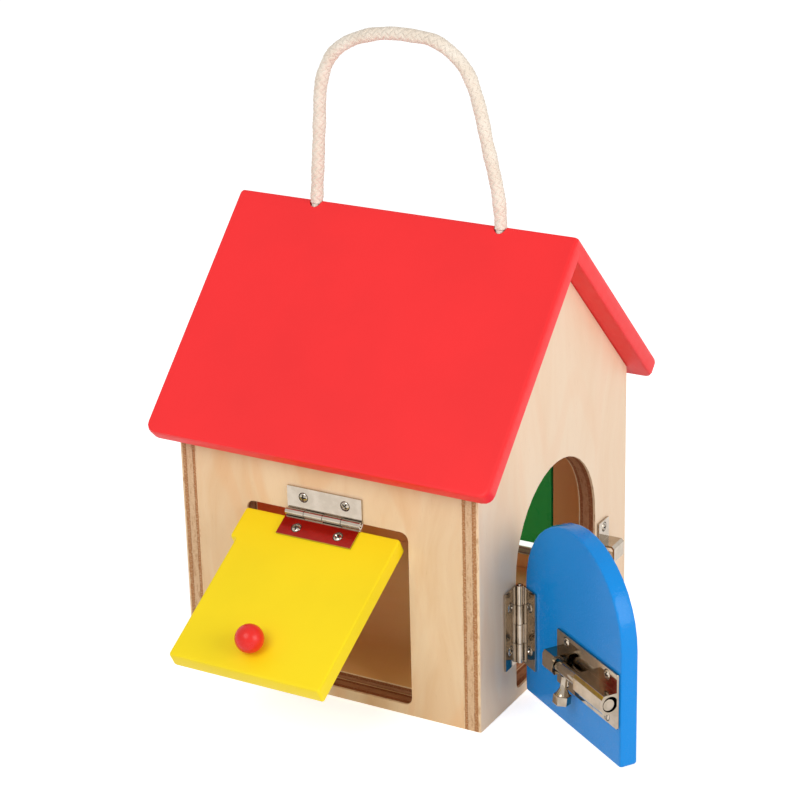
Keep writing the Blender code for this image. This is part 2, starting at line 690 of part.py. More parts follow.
def yellow_knob():
    """A wooden ball on a short foot, with a blind hole for the screw that holds it."""
    centre = FACE + BALL_CENTRE_HEIGHT
    meet = math.asin(BALL_FOOT_RADIUS / BALL_RADIUS)
    ball = arc((0, centre), BALL_RADIUS, math.pi / 2, meet - math.pi, 12)
    ball[0] = (0, centre + BALL_RADIUS)
    foot = FACE + GAP
    made = turned("yellow_knob", ball + [(BALL_FOOT_RADIUS, foot), (0, foot)], BALL_STEPS)
    made.location = (BALL_FROM_HINGE, 0, 0)
    drill(made, YELLOW_SWING, [(BALL_FROM_HINGE, 0)], FACE - OVERRUN, foot + KNOB_SCREW_GRIP,
          SCREW_SHANK_RADIUS + GAP)
    return placed(made, YELLOW_SWING, KNOB_RED)


def yellow_knob_screw():
    """The screw from inside the flap into the ball."""
    seat = FACE - PLY - GAP
    tip = FACE + KNOB_SCREW_GRIP
    made = turned("yellow_knob_screw",
                  [(0, tip), (SCREW_SHANK_RADIUS, tip - SCREW_TIP), (SCREW_SHANK_RADIUS, seat)] +
                  crowned(ROUND_HEAD_RADIUS, seat, -ROUND_HEAD_HEIGHT, ROUND_HEAD_SHARES))
    made.location = (BALL_FROM_HINGE, 0, 0)
    return placed(made, YELLOW_SWING, NICKEL)


flap = yellow_flap()
yellow_knob()
yellow_knob_screw()
butt_hinge("yellow", YELLOW_FIXED, YELLOW_SWING, front_wall, flap)


# The blue door, hinged on its left, and its barrel bolt

BLUE_FIXED = guide("blue_hinge_axis", (HALF_WIDTH + AXIS_HEIGHT, -OPENING_HALF - JAMB_TO_AXIS,
                                       BLUE_HINGE_HEIGHT), (0, 1, 0), (0, 0, 1))
BLUE_SWING = turned_guide("blue_door_turn", BLUE_FIXED, (0, 0, 0), (0, -BLUE_OPEN, 0))


def blue_door():
    """The arched door."""
    middle = (DOOR_NEAR + DOOR_FAR) / 2
    low = SILL_HEIGHT + DOOR_GAP - BLUE_HINGE_HEIGHT
    outline = arched_outline(middle, OPENING_HALF - DOOR_GAP, low, SPRING_HEIGHT - BLUE_HINGE_HEIGHT,
                             DOOR_CORNER)
    made = extruded("blue_door", outline, FACE - PLY, PLY)
    ease(made, DOOR_EASE)
    return placed(made, BLUE_SWING, DOOR_BLUE)


def barrel(name, near, far):
    """A block with sloped shoulders and a round bore for the rod, its feet in the plate. The bore is cut
    before the block joins the plate, so the plate's top stays whole under the rod."""
    half = ROD_RADIUS + BORE_PLAY + BARREL_WALL
    crown = ROD_AXIS + ROD_RADIUS + GAP
    rise = crown + BARREL_CROWN
    feet = BOLT_TOP - BOLT_THICK / 2
    soft = BARREL_ROUNDING
    corners = [(half, feet, 0), (half, rise - BARREL_CHAMFER_RISE, soft),
               (half - BARREL_CHAMFER_WIDTH, rise, soft)]
    corners += [(-x, y, radius) for x, y, radius in corners[::-1]]
    outline = [(x + BOLT_ALONG, y) for x, y in rounded(corners, EASE_STEPS)]
    block = extruded(name, outline, near, far - near, ALONG_SECTION)
    radius = ROD_RADIUS + BORE_PLAY
    bore = arc((BOLT_ALONG, crown - radius), radius, 0, math.tau, ROUND_STEPS * 2)[:-1]
    cutter = extruded(name + "_bore", bore, near - OVERRUN, far - near + OVERRUN * 2, ALONG_SECTION)
    combine(block, hidden(cutter, BLUE_SWING))
    return hidden(block, BLUE_SWING)


def bolt_plate(door):
    """The stamped plate with its rear loop and front barrel, and its screws in the door."""
    half = BOLT_WIDTH / 2
    outline = box_outline(BOLT_NEAR, BOLT_FAR, BOLT_ALONG - half, BOLT_ALONG + half, BARREL_ROUNDING)
    made = extruded("bolt_plate", outline, FACE + GAP, BOLT_THICK)
    combine(made, barrel("bolt_rear_loop", BOLT_NEAR, WINDOW_NEAR), "UNION")
    combine(made, barrel("bolt_front_barrel", WINDOW_FAR, BOLT_FAR), "UNION")
    middle = (BOLT_NEAR + BOLT_FAR) / 2
    spots = [(middle + BOLT_SCREW_REACH * side, BOLT_ALONG + BOLT_SCREW_SPREAD * end)
             for side in (-1, 1) for end in (-1, 1)]
    plate_holes(made, BLUE_SWING, spots, BOLT_THICK)
    pilot_holes(door, BLUE_SWING, spots)
    for number, spot in enumerate(spots, 1):
        sunk_screw(f"bolt_screw_{number}", BLUE_SWING, spot, BOLT_TOP)
    return placed(made, BLUE_SWING, NICKEL)


def bolt_rod():
    """The round rod, flush with both ends of the plate as it is shown."""
    half = BOLT_LENGTH / 2
    made = turned("bolt_rod", [(0, half), (ROD_RADIUS - ROD_EASE, half), (ROD_RADIUS, half - ROD_EASE),
                               (ROD_RADIUS, ROD_EASE - half), (ROD_RADIUS - ROD_EASE, -half), (0, -half)],
                  BALL_STEPS)
    made.location = ((BOLT_NEAR + BOLT_FAR) / 2, BOLT_ALONG, ROD_AXIS)
    made.rotation_euler = (0, math.pi / 2, 0)
    return placed(made, BLUE_SWING, NICKEL)


def bolt_knob():
    """The knob: a round stem under the rod and a six-sided head with a conical shoulder."""
    hang = turned_guide("bolt_knob_turn", BLUE_SWING, (WINDOW_NEAR + KNOB_FROM_LOOP, BOLT_ALONG, ROD_AXIS),
                        (math.pi / 2 - KNOB_TILT, 0, 0))
    soft = KNOB_EASE
    made = turned("bolt_knob", [(0, KNOB_FAR), (KNOB_RADIUS - soft, KNOB_FAR), (KNOB_RADIUS, KNOB_FAR - soft),
                                (KNOB_RADIUS, KNOB_NEAR + soft), (KNOB_RADIUS - soft, KNOB_NEAR),
                                (0, KNOB_NEAR)], 6)
    base = ROD_RADIUS + GAP
    root = KNOB_NEAR + soft
    stem = turned("bolt_knob_stem", [(0, root), (SHOULDER_RADIUS, root), (SHOULDER_RADIUS, KNOB_NEAR),
                                     (STEM_RADIUS, KNOB_NEAR - SHOULDER_LENGTH), (STEM_RADIUS, base),
                                     (0, base)], BALL_STEPS)
    combine(made, hidden(stem, hang), "UNION")
    return placed(made, hang, NICKEL)


def bolt_keeper():
    """The strip on the gable, bent up into a loop that takes the rod."""
    half = KEEPER_LENGTH / 2
    loop = KEEPER_LOOP_HALF
    inside = loop - KEEPER_THICK
    low = GAP
    rise = KEEPER_LOOP_RISE
    soft = BARREL_ROUNDING
    cut = KEEPER_CHAMFER * INNER_CHAMFER_SHARE
    upper = low + KEEPER_THICK
    outer = [(half, upper, 0), (loop, upper, 0), (loop, rise - KEEPER_CHAMFER, soft),
             (loop - KEEPER_CHAMFER, rise, soft)]
    inner = [(inside - cut, rise - KEEPER_THICK, 0), (inside, rise - KEEPER_THICK - cut, 0), (inside, low, 0),
             (half, low, 0)]
    left = [(-x, y, radius) for x, y, radius in outer[::-1]]
    back = [(-x, y, radius) for x, y, radius in inner[::-1]]
    corners = outer + left + back + inner
    outline = [(x + BOLT_ALONG, y + FACE) for x, y in rounded(corners, EASE_STEPS)]
    near = FAR_JAMB + KEEPER_INSET
    made = extruded("bolt_keeper", outline, near, KEEPER_WIDTH, ALONG_SECTION)
    middle = near + KEEPER_WIDTH / 2
    spots = [(middle, BOLT_ALONG + KEEPER_SCREW_SPREAD * end) for end in (-1, 1)]
    plate_holes(made, BLUE_FIXED, spots, KEEPER_THICK)
    pilot_holes(right_gable, BLUE_FIXED, spots)
    for number, spot in enumerate(spots, 1):
        sunk_screw(f"keeper_screw_{number}", BLUE_FIXED, spot, FACE + GAP + KEEPER_THICK)
    return placed(made, BLUE_FIXED, NICKEL)


door = blue_door()
butt_hinge("blue", BLUE_FIXED, BLUE_SWING, right_gable, door)
bolt_plate(door)
bolt_rod()
bolt_knob()
bolt_keeper()


# The green door in the back wall and its swing hook

GREEN_AXIS = (-OPENING_HALF - JAMB_TO_AXIS, HALF_DEPTH + AXIS_HEIGHT, GREEN_MIDDLE)
GREEN_FIXED = guide("green_hinge_axis", GREEN_AXIS, (1, 0, 0), (0, 0, -1))
GREEN_SWING = turned_guide("green_door_turn", GREEN_FIXED, (0, 0, 0), (0, 0, 0))


def square_door(name, swing, tall, finish):
    """A square-topped door round the middle of its hinge."""
    outline = box_outline(DOOR_NEAR, DOOR_FAR, -tall / 2, tall / 2, DOOR_CORNER)
    made = extruded(name, outline, FACE - PLY, PLY)
    ease(made, DOOR_EASE)
    return placed(made, swing, finish)


def green_hook():
    """A flat stamped hook, parked upright, with an eye for its pivot and a notch for the catch."""
    park = turned_guide("green_hook_turn", GREEN_FIXED, (HOOK_PIVOT, 0, 0), (0, 0, -math.pi / 2))
    lean = math.asin(HOOK_BAR_HALF / HOOK_EYE_RADIUS)
    nose = arc((HOOK_REACH, 0), HOOK_EYE_RADIUS, lean - math.pi, 2 * (math.pi - lean), ROUND_STEPS)
    eye = arc((0, 0), HOOK_EYE_RADIUS, lean, 2 * (math.pi - lean), ROUND_STEPS)
    made = extruded("green_hook", nose + eye, HOOK_BASE, HOOK_THICK)
    low = HOOK_BASE - OVERRUN
    high = HOOK_BASE + HOOK_THICK + OVERRUN
    drill(made, park, [(0, 0)], low, high, SCREW_SHANK_RADIUS + GAP)
    wide = SCREW_SHANK_RADIUS + HOOK_NOTCH_PLAY
    notch = [(HOOK_REACH + wide, -HOOK_EYE_RADIUS - OVERRUN)]
    notch += arc((HOOK_REACH, 0), wide, 0, math.pi, ROUND_STEPS // 2)
    notch += [(HOOK_REACH - wide, -HOOK_EYE_RADIUS - OVERRUN)]
    combine(made, hidden(extruded("green_hook_notch", notch, low, high - low), park))
    return placed(made, park, NICKEL)


green_tall = HEAD_HEIGHT - DOOR_GAP - BACK_SILL_HEIGHT - GREEN_SILL_GAP
door = square_door("green_door", GREEN_SWING, green_tall, DOOR_GREEN)
butt_hinge("green", GREEN_FIXED, GREEN_SWING, back_wall, door)
green_hook()
hook_seat = HOOK_BASE + HOOK_THICK + HOOK_PLAY
round_screw("green_hook_screw", GREEN_FIXED, (HOOK_PIVOT, 0), hook_seat)
round_screw("green_catch_screw", GREEN_SWING, (HOOK_CATCH, 0), hook_seat)
pilot_holes(back_wall, GREEN_FIXED, [(HOOK_PIVOT, 0)])
pilot_holes(door, GREEN_SWING, [(HOOK_CATCH, 0)])


# The red door in the left gable and its turn button

RED_AXIS = (-HALF_WIDTH - AXIS_HEIGHT, -OPENING_HALF - JAMB_TO_AXIS, RED_MIDDLE)
RED_FIXED = guide("red_hinge_axis", RED_AXIS, (0, 1, 0), (0, 0, -1))
RED_SWING = turned_guide("red_door_turn", RED_FIXED, (0, 0, 0), (0, 0, 0))


def red_turn_button():
    """A bar that turns on a screw, parked upright beside the door."""
    park = turned_guide("red_button_turn", RED_FIXED, (FAR_JAMB + BUTTON_INSET, 0, 0), (0, 0, 0))
    half = BUTTON_WIDTH / 2
    straight = BUTTON_LENGTH / 2 - half
    outline = arc((0, straight), half, 0, math.pi, ROUND_STEPS) + arc((0, -straight), half, math.pi, math.pi,
                                                                      ROUND_STEPS)
    made = extruded("red_turn_button", outline, FACE + GAP, BUTTON_THICK)
    ease(made, BUTTON_EASE)
    drill(made, park, [(0, 0)], FACE + GAP - OVERRUN, FACE + GAP + BUTTON_THICK + OVERRUN,
          SCREW_SHANK_RADIUS + GAP)
    return placed(made, park, NICKEL)


red_tall = HEAD_HEIGHT - SILL_HEIGHT - DOOR_GAP * 2
door = square_door("red_door", RED_SWING, red_tall, DOOR_RED)
butt_hinge("red", RED_FIXED, RED_SWING, left_gable, door)
red_turn_button()
button_spot = (FAR_JAMB + BUTTON_INSET, 0)
round_screw("red_turn_screw", RED_FIXED, button_spot, FACE + GAP * 2 + BUTTON_THICK)
pilot_holes(left_gable, RED_FIXED, [button_spot])
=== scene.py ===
# %% [markdown]
# A plywood activity house: a body of birch plywood, a red gable roof, a rope to carry it by, and four doors
# that hang on real hinges. The solids come from the CAD model, each in its place and in metres, so nothing
# is measured again here. This lesson gives them their finish, models the small hardware with Blender's
# tools, and lights the house as a plain studio picture.

# %% Load the frame
import json
import math

import bpy
import numpy
from mathutils import Matrix, Vector

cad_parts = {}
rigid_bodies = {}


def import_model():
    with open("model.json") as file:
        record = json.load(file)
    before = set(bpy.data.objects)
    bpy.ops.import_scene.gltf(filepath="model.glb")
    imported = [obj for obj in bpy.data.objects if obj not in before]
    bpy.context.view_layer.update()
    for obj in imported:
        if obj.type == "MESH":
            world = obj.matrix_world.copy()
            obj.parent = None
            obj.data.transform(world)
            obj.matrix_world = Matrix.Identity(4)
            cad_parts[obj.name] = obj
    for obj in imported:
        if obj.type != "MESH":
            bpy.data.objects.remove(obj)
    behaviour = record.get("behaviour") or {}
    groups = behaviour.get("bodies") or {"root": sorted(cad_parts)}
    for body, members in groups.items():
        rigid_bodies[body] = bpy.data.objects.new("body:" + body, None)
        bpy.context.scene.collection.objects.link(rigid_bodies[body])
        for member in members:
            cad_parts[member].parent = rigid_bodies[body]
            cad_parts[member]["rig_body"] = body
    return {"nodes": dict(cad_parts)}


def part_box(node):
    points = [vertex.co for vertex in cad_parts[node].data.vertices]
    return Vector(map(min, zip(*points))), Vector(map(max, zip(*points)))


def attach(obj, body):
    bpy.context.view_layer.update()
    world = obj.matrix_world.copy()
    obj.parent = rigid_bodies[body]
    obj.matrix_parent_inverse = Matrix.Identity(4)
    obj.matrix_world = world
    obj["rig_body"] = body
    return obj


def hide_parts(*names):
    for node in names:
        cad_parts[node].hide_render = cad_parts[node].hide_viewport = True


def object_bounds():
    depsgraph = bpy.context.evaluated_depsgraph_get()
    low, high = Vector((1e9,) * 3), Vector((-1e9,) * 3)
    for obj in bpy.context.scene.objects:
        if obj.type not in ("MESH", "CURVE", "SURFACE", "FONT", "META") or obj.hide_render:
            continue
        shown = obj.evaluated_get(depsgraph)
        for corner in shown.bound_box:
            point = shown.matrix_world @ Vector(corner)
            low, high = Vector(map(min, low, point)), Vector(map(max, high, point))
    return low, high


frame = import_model()
cad_low, cad_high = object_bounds()
MM = 0.001
size = cad_high - cad_low
print(f"{len(frame['nodes'])} CAD nodes in a box of "
      f"{size.x / MM:.0f} x {size.y / MM:.0f} x {size.z / MM:.0f} mm")

# %% [markdown]
# The picture is taken from the front right and a little above, with a long lens, so the upright edges stay
# nearly parallel. A camera looks along its own -Z, so three columns set its turn: where its right, its up
# and its back point. The back points from the house to the camera, and a small roll tips the horizon.

# %% Camera
CAMERA_AZIMUTH = math.radians(29.80)     # from the front, round to the right
CAMERA_RISE = math.radians(21.63)
CAMERA_ROLL = math.radians(-1.44)
CAMERA_PLACE = Vector((0.54540, -0.96042, 0.56153))
LENS_MM = 110.12
SENSOR_MM = 36

back = Vector((math.sin(CAMERA_AZIMUTH) * math.cos(CAMERA_RISE),
               -math.cos(CAMERA_AZIMUTH) * math.cos(CAMERA_RISE), math.sin(CAMERA_RISE)))
level_right = Vector((math.cos(CAMERA_AZIMUTH), math.sin(CAMERA_AZIMUTH), 0))
level_up = back.cross(level_right)
right = level_right * math.cos(CAMERA_ROLL) + level_up * math.sin(CAMERA_ROLL)
up = back.cross(right)

camera = bpy.data.objects.new("camera", bpy.data.cameras.new("camera"))
bpy.context.scene.collection.objects.link(camera)
camera.matrix_world = Matrix.Translation(CAMERA_PLACE) @ Matrix((right, up, back)).transposed().to_4x4()
camera.data.lens = LENS_MM
camera.data.sensor_width = SENSOR_MM
bpy.context.scene.camera = camera
print("camera at", [round(value, 3) for value in CAMERA_PLACE])

# %% [markdown]
# The handle is a soft braided cotton rope, 6 mm thick. It comes out of one hole in the ridge, stands in an
# arch by its own stiffness and goes back in at the other hole. Its route is a list of given points, the
# same as in the CAD model. A Catmull-Rom curve through them gives the smooth line, and the line is walked
# in even steps, so that the braid keeps its pitch.

# %% The rope's route
ROPE_RADIUS = 3 * MM
ROPE_STEP = 0.4 * MM
CURVE_PARTS = 40           # short chords between one point of the list and the next
ROPE_ROUTE = (
    (-0.0479, 0.2176), (-0.0463, 0.2382), (-0.0447, 0.2591), (-0.0437, 0.2728), (-0.0409, 0.2833),
    (-0.0356, 0.2919), (-0.0270, 0.2981), (-0.0155, 0.3022), (-0.0043, 0.3039), (0.0067, 0.3038),
    (0.0177, 0.3026), (0.0271, 0.2977), (0.0342, 0.2906), (0.0384, 0.2819), (0.0418, 0.2705),
    (0.0446, 0.2575), (0.0473, 0.2466), (0.0501, 0.2335), (0.0511, 0.2235), (0.0514, 0.2176),
)


def smooth_line(points, step):
    """Points about a step apart on a Catmull-Rom curve through the given points, both ends included."""
    padded = [points[0] * 2 - points[1], *points, points[-1] * 2 - points[-2]]
    dense = []
    for a, b, c, d in zip(padded, padded[1:], padded[2:], padded[3:]):
        for part in range(CURVE_PARTS):
            t = part / CURVE_PARTS
            dense.append((b * 2 + (c - a) * t + (a * 2 - b * 5 + c * 4 - d) * t ** 2 +
                          (b * 3 - a - c * 3 + d) * t ** 3) / 2)
    dense.append(points[-1])
    walked = [0.0]
    for before, after in zip(dense, dense[1:]):
        walked.append(walked[-1] + (after - before).length)
    count = round(walked[-1] / step)
    line, place = [], 0
    for index in range(count + 1):
        wanted = walked[-1] * index / count
        while place < len(walked) - 2 and walked[place + 1] < wanted:
            place += 1
        share = (wanted - walked[place]) / (walked[place + 1] - walked[place])
        line.append(dense[place].lerp(dense[place + 1], share))
    return line, walked[-1]


rope_line, rope_length = smooth_line([Vector((x, 0, z)) for x, z in ROPE_ROUTE], ROPE_STEP)
print(f"the free rope is {rope_length / MM:.1f} mm long, in {len(rope_line)} points")

# %% [markdown]
# A braid is two families of yarns that wind round the rope in opposite ways and pass over and under each
# other. A picture of a braid on a smooth tube would look flat at its edge, so each yarn is a real tube
# here. Every yarn keeps the same distance to the rope's middle but for a small wave, up where it passes
# over a yarn of the other family and down where it passes under, and both families share that wave with
# opposite signs.

# %% Braid a rope
YARNS = 5                  # in each family
BRAID_PITCH = 22 * MM      # along the rope for one turn of a yarn
YARN_HALF_WIDTH = 1.35 * MM
YARN_HALF_THICK = 0.42 * MM
YARN_WAVE = 0.11 * MM
YARN_SIDES = 8
CORE_SIDES = 16
CORE_RISE = 0.34 * MM      # the core swells out between the yarns
FLUFF = 0.16 * MM          # loose fibres stand out this far from the rope
SWELL = 0.09 * MM          # and the rope is now thicker, now thinner,
SWELL_LENGTHS = (1.9 * MM, 3.1 * MM)      # in two waves, each 2 pi times as long as this,
SWELL_SHIFT = 1.3
EVEN_END = 4 * MM          # but for its last stretch, which has to fit its hole


def crossways(line):
    """For each point of a line: two directions across it, carried along without a twist."""
    frames = []
    side = Vector((0, 1, 0))
    for index in range(len(line)):
        ahead = (line[min(index + 1, len(line) - 1)] - line[max(index - 1, 0)]).normalized()
        side = (side - ahead * side.dot(ahead)).normalized()
        frames.append((side.copy(), ahead.cross(side)))
    return frames


def tube_faces(start, rings, sides):
    """Quads between rings of points that follow each other, and a cap on each end."""
    faces = []
    for ring in range(rings - 1):
        for side in range(sides):
            a = start + ring * sides + side
            b = start + ring * sides + (side + 1) % sides
            faces.append((a, b, b + sides, a + sides))
    faces.append(tuple(range(start + sides - 1, start - 1, -1)))
    last = start + (rings - 1) * sides
    faces.append(tuple(range(last, last + sides)))
    return faces


def braided(name, line, radius=ROPE_RADIUS):
    """A rope of braided yarns along a line, as one mesh. UV: along the yarn, and round it."""
    frames = crossways(line)
    walked = [0.0]
    for before, after in zip(line, line[1:]):
        walked.append(walked[-1] + (after - before).length)
    scale = radius / ROPE_RADIUS
    middle = []
    for along in walked:
        uneven = math.sin(along / SWELL_LENGTHS[0]) + math.sin(along / SWELL_LENGTHS[1] + SWELL_SHIFT)
        ends = min(along, walked[-1] - along, EVEN_END) / EVEN_END
        middle.append(radius - (YARN_HALF_THICK + YARN_WAVE) * scale + (FLUFF + SWELL * uneven) * ends)
    points, faces, marks = [], [], []
    for family in (1, -1):
        for yarn in range(YARNS):
            start = len(points)
            for index, centre in enumerate(line):
                angle = math.tau * (yarn / YARNS + family * walked[index] / (BRAID_PITCH * scale))
                wave = math.cos(2 * YARNS * math.pi * walked[index] / (BRAID_PITCH * scale))
                out = frames[index][0] * math.cos(angle) + frames[index][1] * math.sin(angle)
                round_it = frames[index][1] * math.cos(angle) - frames[index][0] * math.sin(angle)
                away = middle[index] + family * wave * YARN_WAVE * scale
                for side in range(YARN_SIDES):
                    turn = math.tau * side / YARN_SIDES
                    points.append(centre + out * (away + math.cos(turn) * YARN_HALF_THICK * scale) +
                                  round_it * family * math.sin(turn) * YARN_HALF_WIDTH * scale)
                    marks.append((walked[index] / BRAID_PITCH + yarn / YARNS, side / YARN_SIDES))
            faces += tube_faces(start, len(line), YARN_SIDES)
    start = len(points)
    for centre, (side_a, side_b), away in zip(line, frames, middle):
        for side in range(CORE_SIDES):
            turn = math.tau * side / CORE_SIDES
            out = side_a * math.cos(turn) + side_b * math.sin(turn)
            points.append(centre + out * (away + CORE_RISE * scale))
            marks.append((0, 0))
    faces += tube_faces(start, len(line), CORE_SIDES)
    mesh = bpy.data.meshes.new(name)
    mesh.from_pydata(points, [], faces)
    mesh.validate()
    layer = mesh.uv_layers.new(name="yarn")
    for loop in mesh.loops:
        layer.data[loop.index].uv = marks[loop.vertex_index]
    mesh.shade_smooth()
    rope = bpy.data.objects.new(name, mesh)
    bpy.context.scene.collection.objects.link(rope)
    return rope


carrying_rope = braided("carrying_rope", rope_line)
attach(carrying_rope, "house")
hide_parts("handle_rope")
print("rope:", len(carrying_rope.data.polygons), "faces")

# %% [markdown]
# Inside the house the rope runs down through the two roof panels and ends in a stopper knot, which lets the
# ridge hang on it. A tight overhand knot is a line that winds round itself. The trefoil curve is such a
# knot, so the rope follows nearly the whole of it, between a straight piece through the hole and a short
# tail. The curve sinks a little on the way, or the rope would come out where it went in.

# %% Rope ends and stopper knots
KNOT_ROPE_RADIUS = 2.5 * MM
STRAIGHT = 10 * MM         # from the hole's mouth down through the roof
KNOT_DROP = 19.4 * MM      # from there to the knot's middle
KNOT_POINTS = 12
KNOT_SHARE = 0.94          # of the whole trefoil
KNOT_REACH = 1.35 * MM     # the trefoil's unit of size
KNOT_FALL = 1.44           # in that unit, from the knot's middle to its first and last point
KNOT_WEAVE = 0.96          # and how far its strands pass over and under each other
TAIL = 5 * MM
TAIL_BEND = (0.6 * MM, 0.4 * MM)


def knotted_line(x, mouth, low):
    """Down through the hole, round a small knot and out at the bottom as a tail."""
    points = [Vector((x, 0, mouth)), Vector((x, 0, mouth - STRAIGHT / 2)), Vector((x, 0, mouth - STRAIGHT))]
    for part in range(KNOT_POINTS + 1):
        share = part / KNOT_POINTS
        t = math.tau * ((1 - KNOT_SHARE) / 2 + KNOT_SHARE * share)
        rise = KNOT_FALL * (1 - 2 * share) - KNOT_WEAVE * math.sin(3 * t)
        points.append(Vector((x + KNOT_REACH * (math.sin(t) + 2 * math.sin(2 * t)),
                              KNOT_REACH * (math.cos(t) - 2 * math.cos(2 * t)),
                              mouth - KNOT_DROP + KNOT_REACH * rise)))
    points += [Vector((x, 0, low + TAIL)), Vector((x + TAIL_BEND[0], TAIL_BEND[1], low))]
    return smooth_line(points, ROPE_STEP)[0]


def rope_end(side):
    """One rope end with its knot, which stands for the CAD model's plain one."""
    low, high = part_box(f"{side}_rope_end")
    end = braided(f"{side}_rope_knot", knotted_line((low.x + high.x) / 2, high.z, low.z), KNOT_ROPE_RADIUS)
    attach(end, "house")
    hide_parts(f"{side}_rope_end")
    print(end.name, "ends", round(low.z / MM, 1), "mm over the underside of the house")
    return end


left_knot = rope_end("left")
right_knot = rope_end("right")

# %% [markdown]
# The studio is a pale floor, a white surrounding and two softboxes. The two soft highlights on the red ball
# of the flap tell where the lamps stood: one in front of the house and rather high, one to its right and
# low. An area light's power grows with the square of its distance for the same light on the house, so it is
# worked out from the light that is wanted.

# %% Softboxes
FRONT_LIGHT = 0.345        # share of full white that each lamp alone gives a surface that faces it
RIGHT_LIGHT = 0.40
LAMP_DISTANCE = 1.5
LAMP_SIDE = 0.8
house_middle = Vector((0, 0, 0.12))


def softbox(name, azimuth, rise, light):
    """A square lamp that looks at the house. Azimuth 0 is in front of it, 90 to its right."""
    lamp = bpy.data.objects.new(name, bpy.data.lights.new(name, "AREA"))
    lamp.data.shape = "SQUARE"
    lamp.data.size = LAMP_SIDE
    lamp.data.energy = light * (math.pi * LAMP_DISTANCE) ** 2
    turn, lift = math.radians(azimuth), math.radians(rise)
    way = Vector((math.sin(turn) * math.cos(lift), -math.cos(turn) * math.cos(lift), math.sin(lift)))
    lamp.location = house_middle + way * LAMP_DISTANCE
    lamp.rotation_mode = "QUATERNION"
    lamp.rotation_quaternion = way.to_track_quat("Z", "Y")
    bpy.context.scene.collection.objects.link(lamp)
    print(f"{name}: {lamp.data.energy:.1f} W")


softbox("front_softbox", azimuth=-1.5, rise=38, light=FRONT_LIGHT)
softbox("right_softbox", azimuth=76, rise=19, light=RIGHT_LIGHT)

# %% [markdown]
# Materials are built from nodes, and the same few steps come back in all of them: add a node and wire it,
# do a sum, take a noise, mix two colours. Each step gets a short name here. Coordinates are in metres, so a
# noise's scale says how many lumps a metre holds: 1000 makes lumps of a millimetre.

# %% Node helpers
def add(tree, kind, inputs=None, **settings):
    """Add a node. Settings are its own; inputs are values or other nodes' sockets, by name or number."""
    made = tree.nodes.new(kind)
    for key, value in settings.items():
        setattr(made, key, value)
    for key, value in (inputs or {}).items():
        if isinstance(value, bpy.types.NodeSocket):
            tree.links.new(value, made.inputs[key])
        else:
            made.inputs[key].default_value = value
    return made


def sums(tree, operation, *values):
    """A Math node's result."""
    return add(tree, "ShaderNodeMath", dict(enumerate(values)), operation=operation).outputs[0]


def noise(tree, vector, scale=1.0, detail=2.0, roughness=0.5, distortion=0.0):
    """A noise's factor."""
    made = add(tree, "ShaderNodeTexNoise", {"Vector": vector, "Scale": scale, "Detail": detail,
                                            "Roughness": roughness, "Distortion": distortion})
    return made.outputs["Fac"]


def between(tree, value, low, high, start=0.0, end=1.0):
    """A smooth step from start, at low, to end, at high."""
    return add(tree, "ShaderNodeMapRange", {"Value": value, "From Min": low, "From Max": high,
                                            "To Min": start, "To Max": end},
               interpolation_type="SMOOTHSTEP").outputs[0]


MIX_SHARE, MIX_FIRST, MIX_SECOND, MIX_RESULT = 0, 6, 7, 2      # a Mix node's sockets for colours


def blend(tree, share, first, second, kind="MIX"):
    """Two colours mixed."""
    made = add(tree, "ShaderNodeMix", data_type="RGBA", blend_type=kind, clamp_factor=True)
    for key, value in ((MIX_SHARE, share), (MIX_FIRST, first), (MIX_SECOND, second)):
        if isinstance(value, bpy.types.NodeSocket):
            tree.links.new(value, made.inputs[key])
        else:
            made.inputs[key].default_value = value if key == MIX_SHARE else (*value, 1)
    return made.outputs[MIX_RESULT]


def fresh_material(name):
    """A new material, its tree and its Principled shader."""
    made = bpy.data.materials.new(name)
    made.use_nodes = True
    return made, made.node_tree, made.node_tree.nodes["Principled BSDF"]


def bumpy(tree, shader, height, strength, distance):
    """Wire a height to the shader's normal."""
    bump = add(tree, "ShaderNodeBump", {"Height": height, "Strength": strength, "Distance": distance})
    tree.links.new(bump.outputs[0], shader.inputs["Normal"])


# %% [markdown]
# White cardboard all round would light the house from every side, while the picture wants a white
# background and soft light. Light Path tells which kind of ray asks: the camera and reflections see white,
# and everything else gets the dimmer ambient light. The floor does the same with a little glow, so that it
# reads as white paper and still keeps the shadow of the house.

# %% Background and floor
AMBIENT = 0.50
FLOOR_GLOW = 0.56
FLOOR_SIZE = 40
WHITE = (1, 1, 1, 1)
PAPER = (0.95, 0.95, 0.95, 1)


def seen_directly(tree):
    """1 for rays from the camera, a reflection or through glass, otherwise 0."""
    path = add(tree, "ShaderNodeLightPath")
    shiny = sums(tree, "MAXIMUM", path.outputs["Is Glossy Ray"], path.outputs["Is Transmission Ray"])
    return sums(tree, "MAXIMUM", path.outputs["Is Camera Ray"], shiny)


world = bpy.data.worlds.new("white_surround")
bpy.context.scene.world = world
world.use_nodes = True
tree = world.node_tree
soft = tree.nodes["Background"]
soft.inputs["Color"].default_value = WHITE
soft.inputs["Strength"].default_value = AMBIENT
white = add(tree, "ShaderNodeBackground", {"Color": WHITE, "Strength": 1.0})
both = add(tree, "ShaderNodeMixShader", {0: seen_directly(tree), 1: soft.outputs[0], 2: white.outputs[0]})
tree.links.new(both.outputs[0], tree.nodes["World Output"].inputs["Surface"])

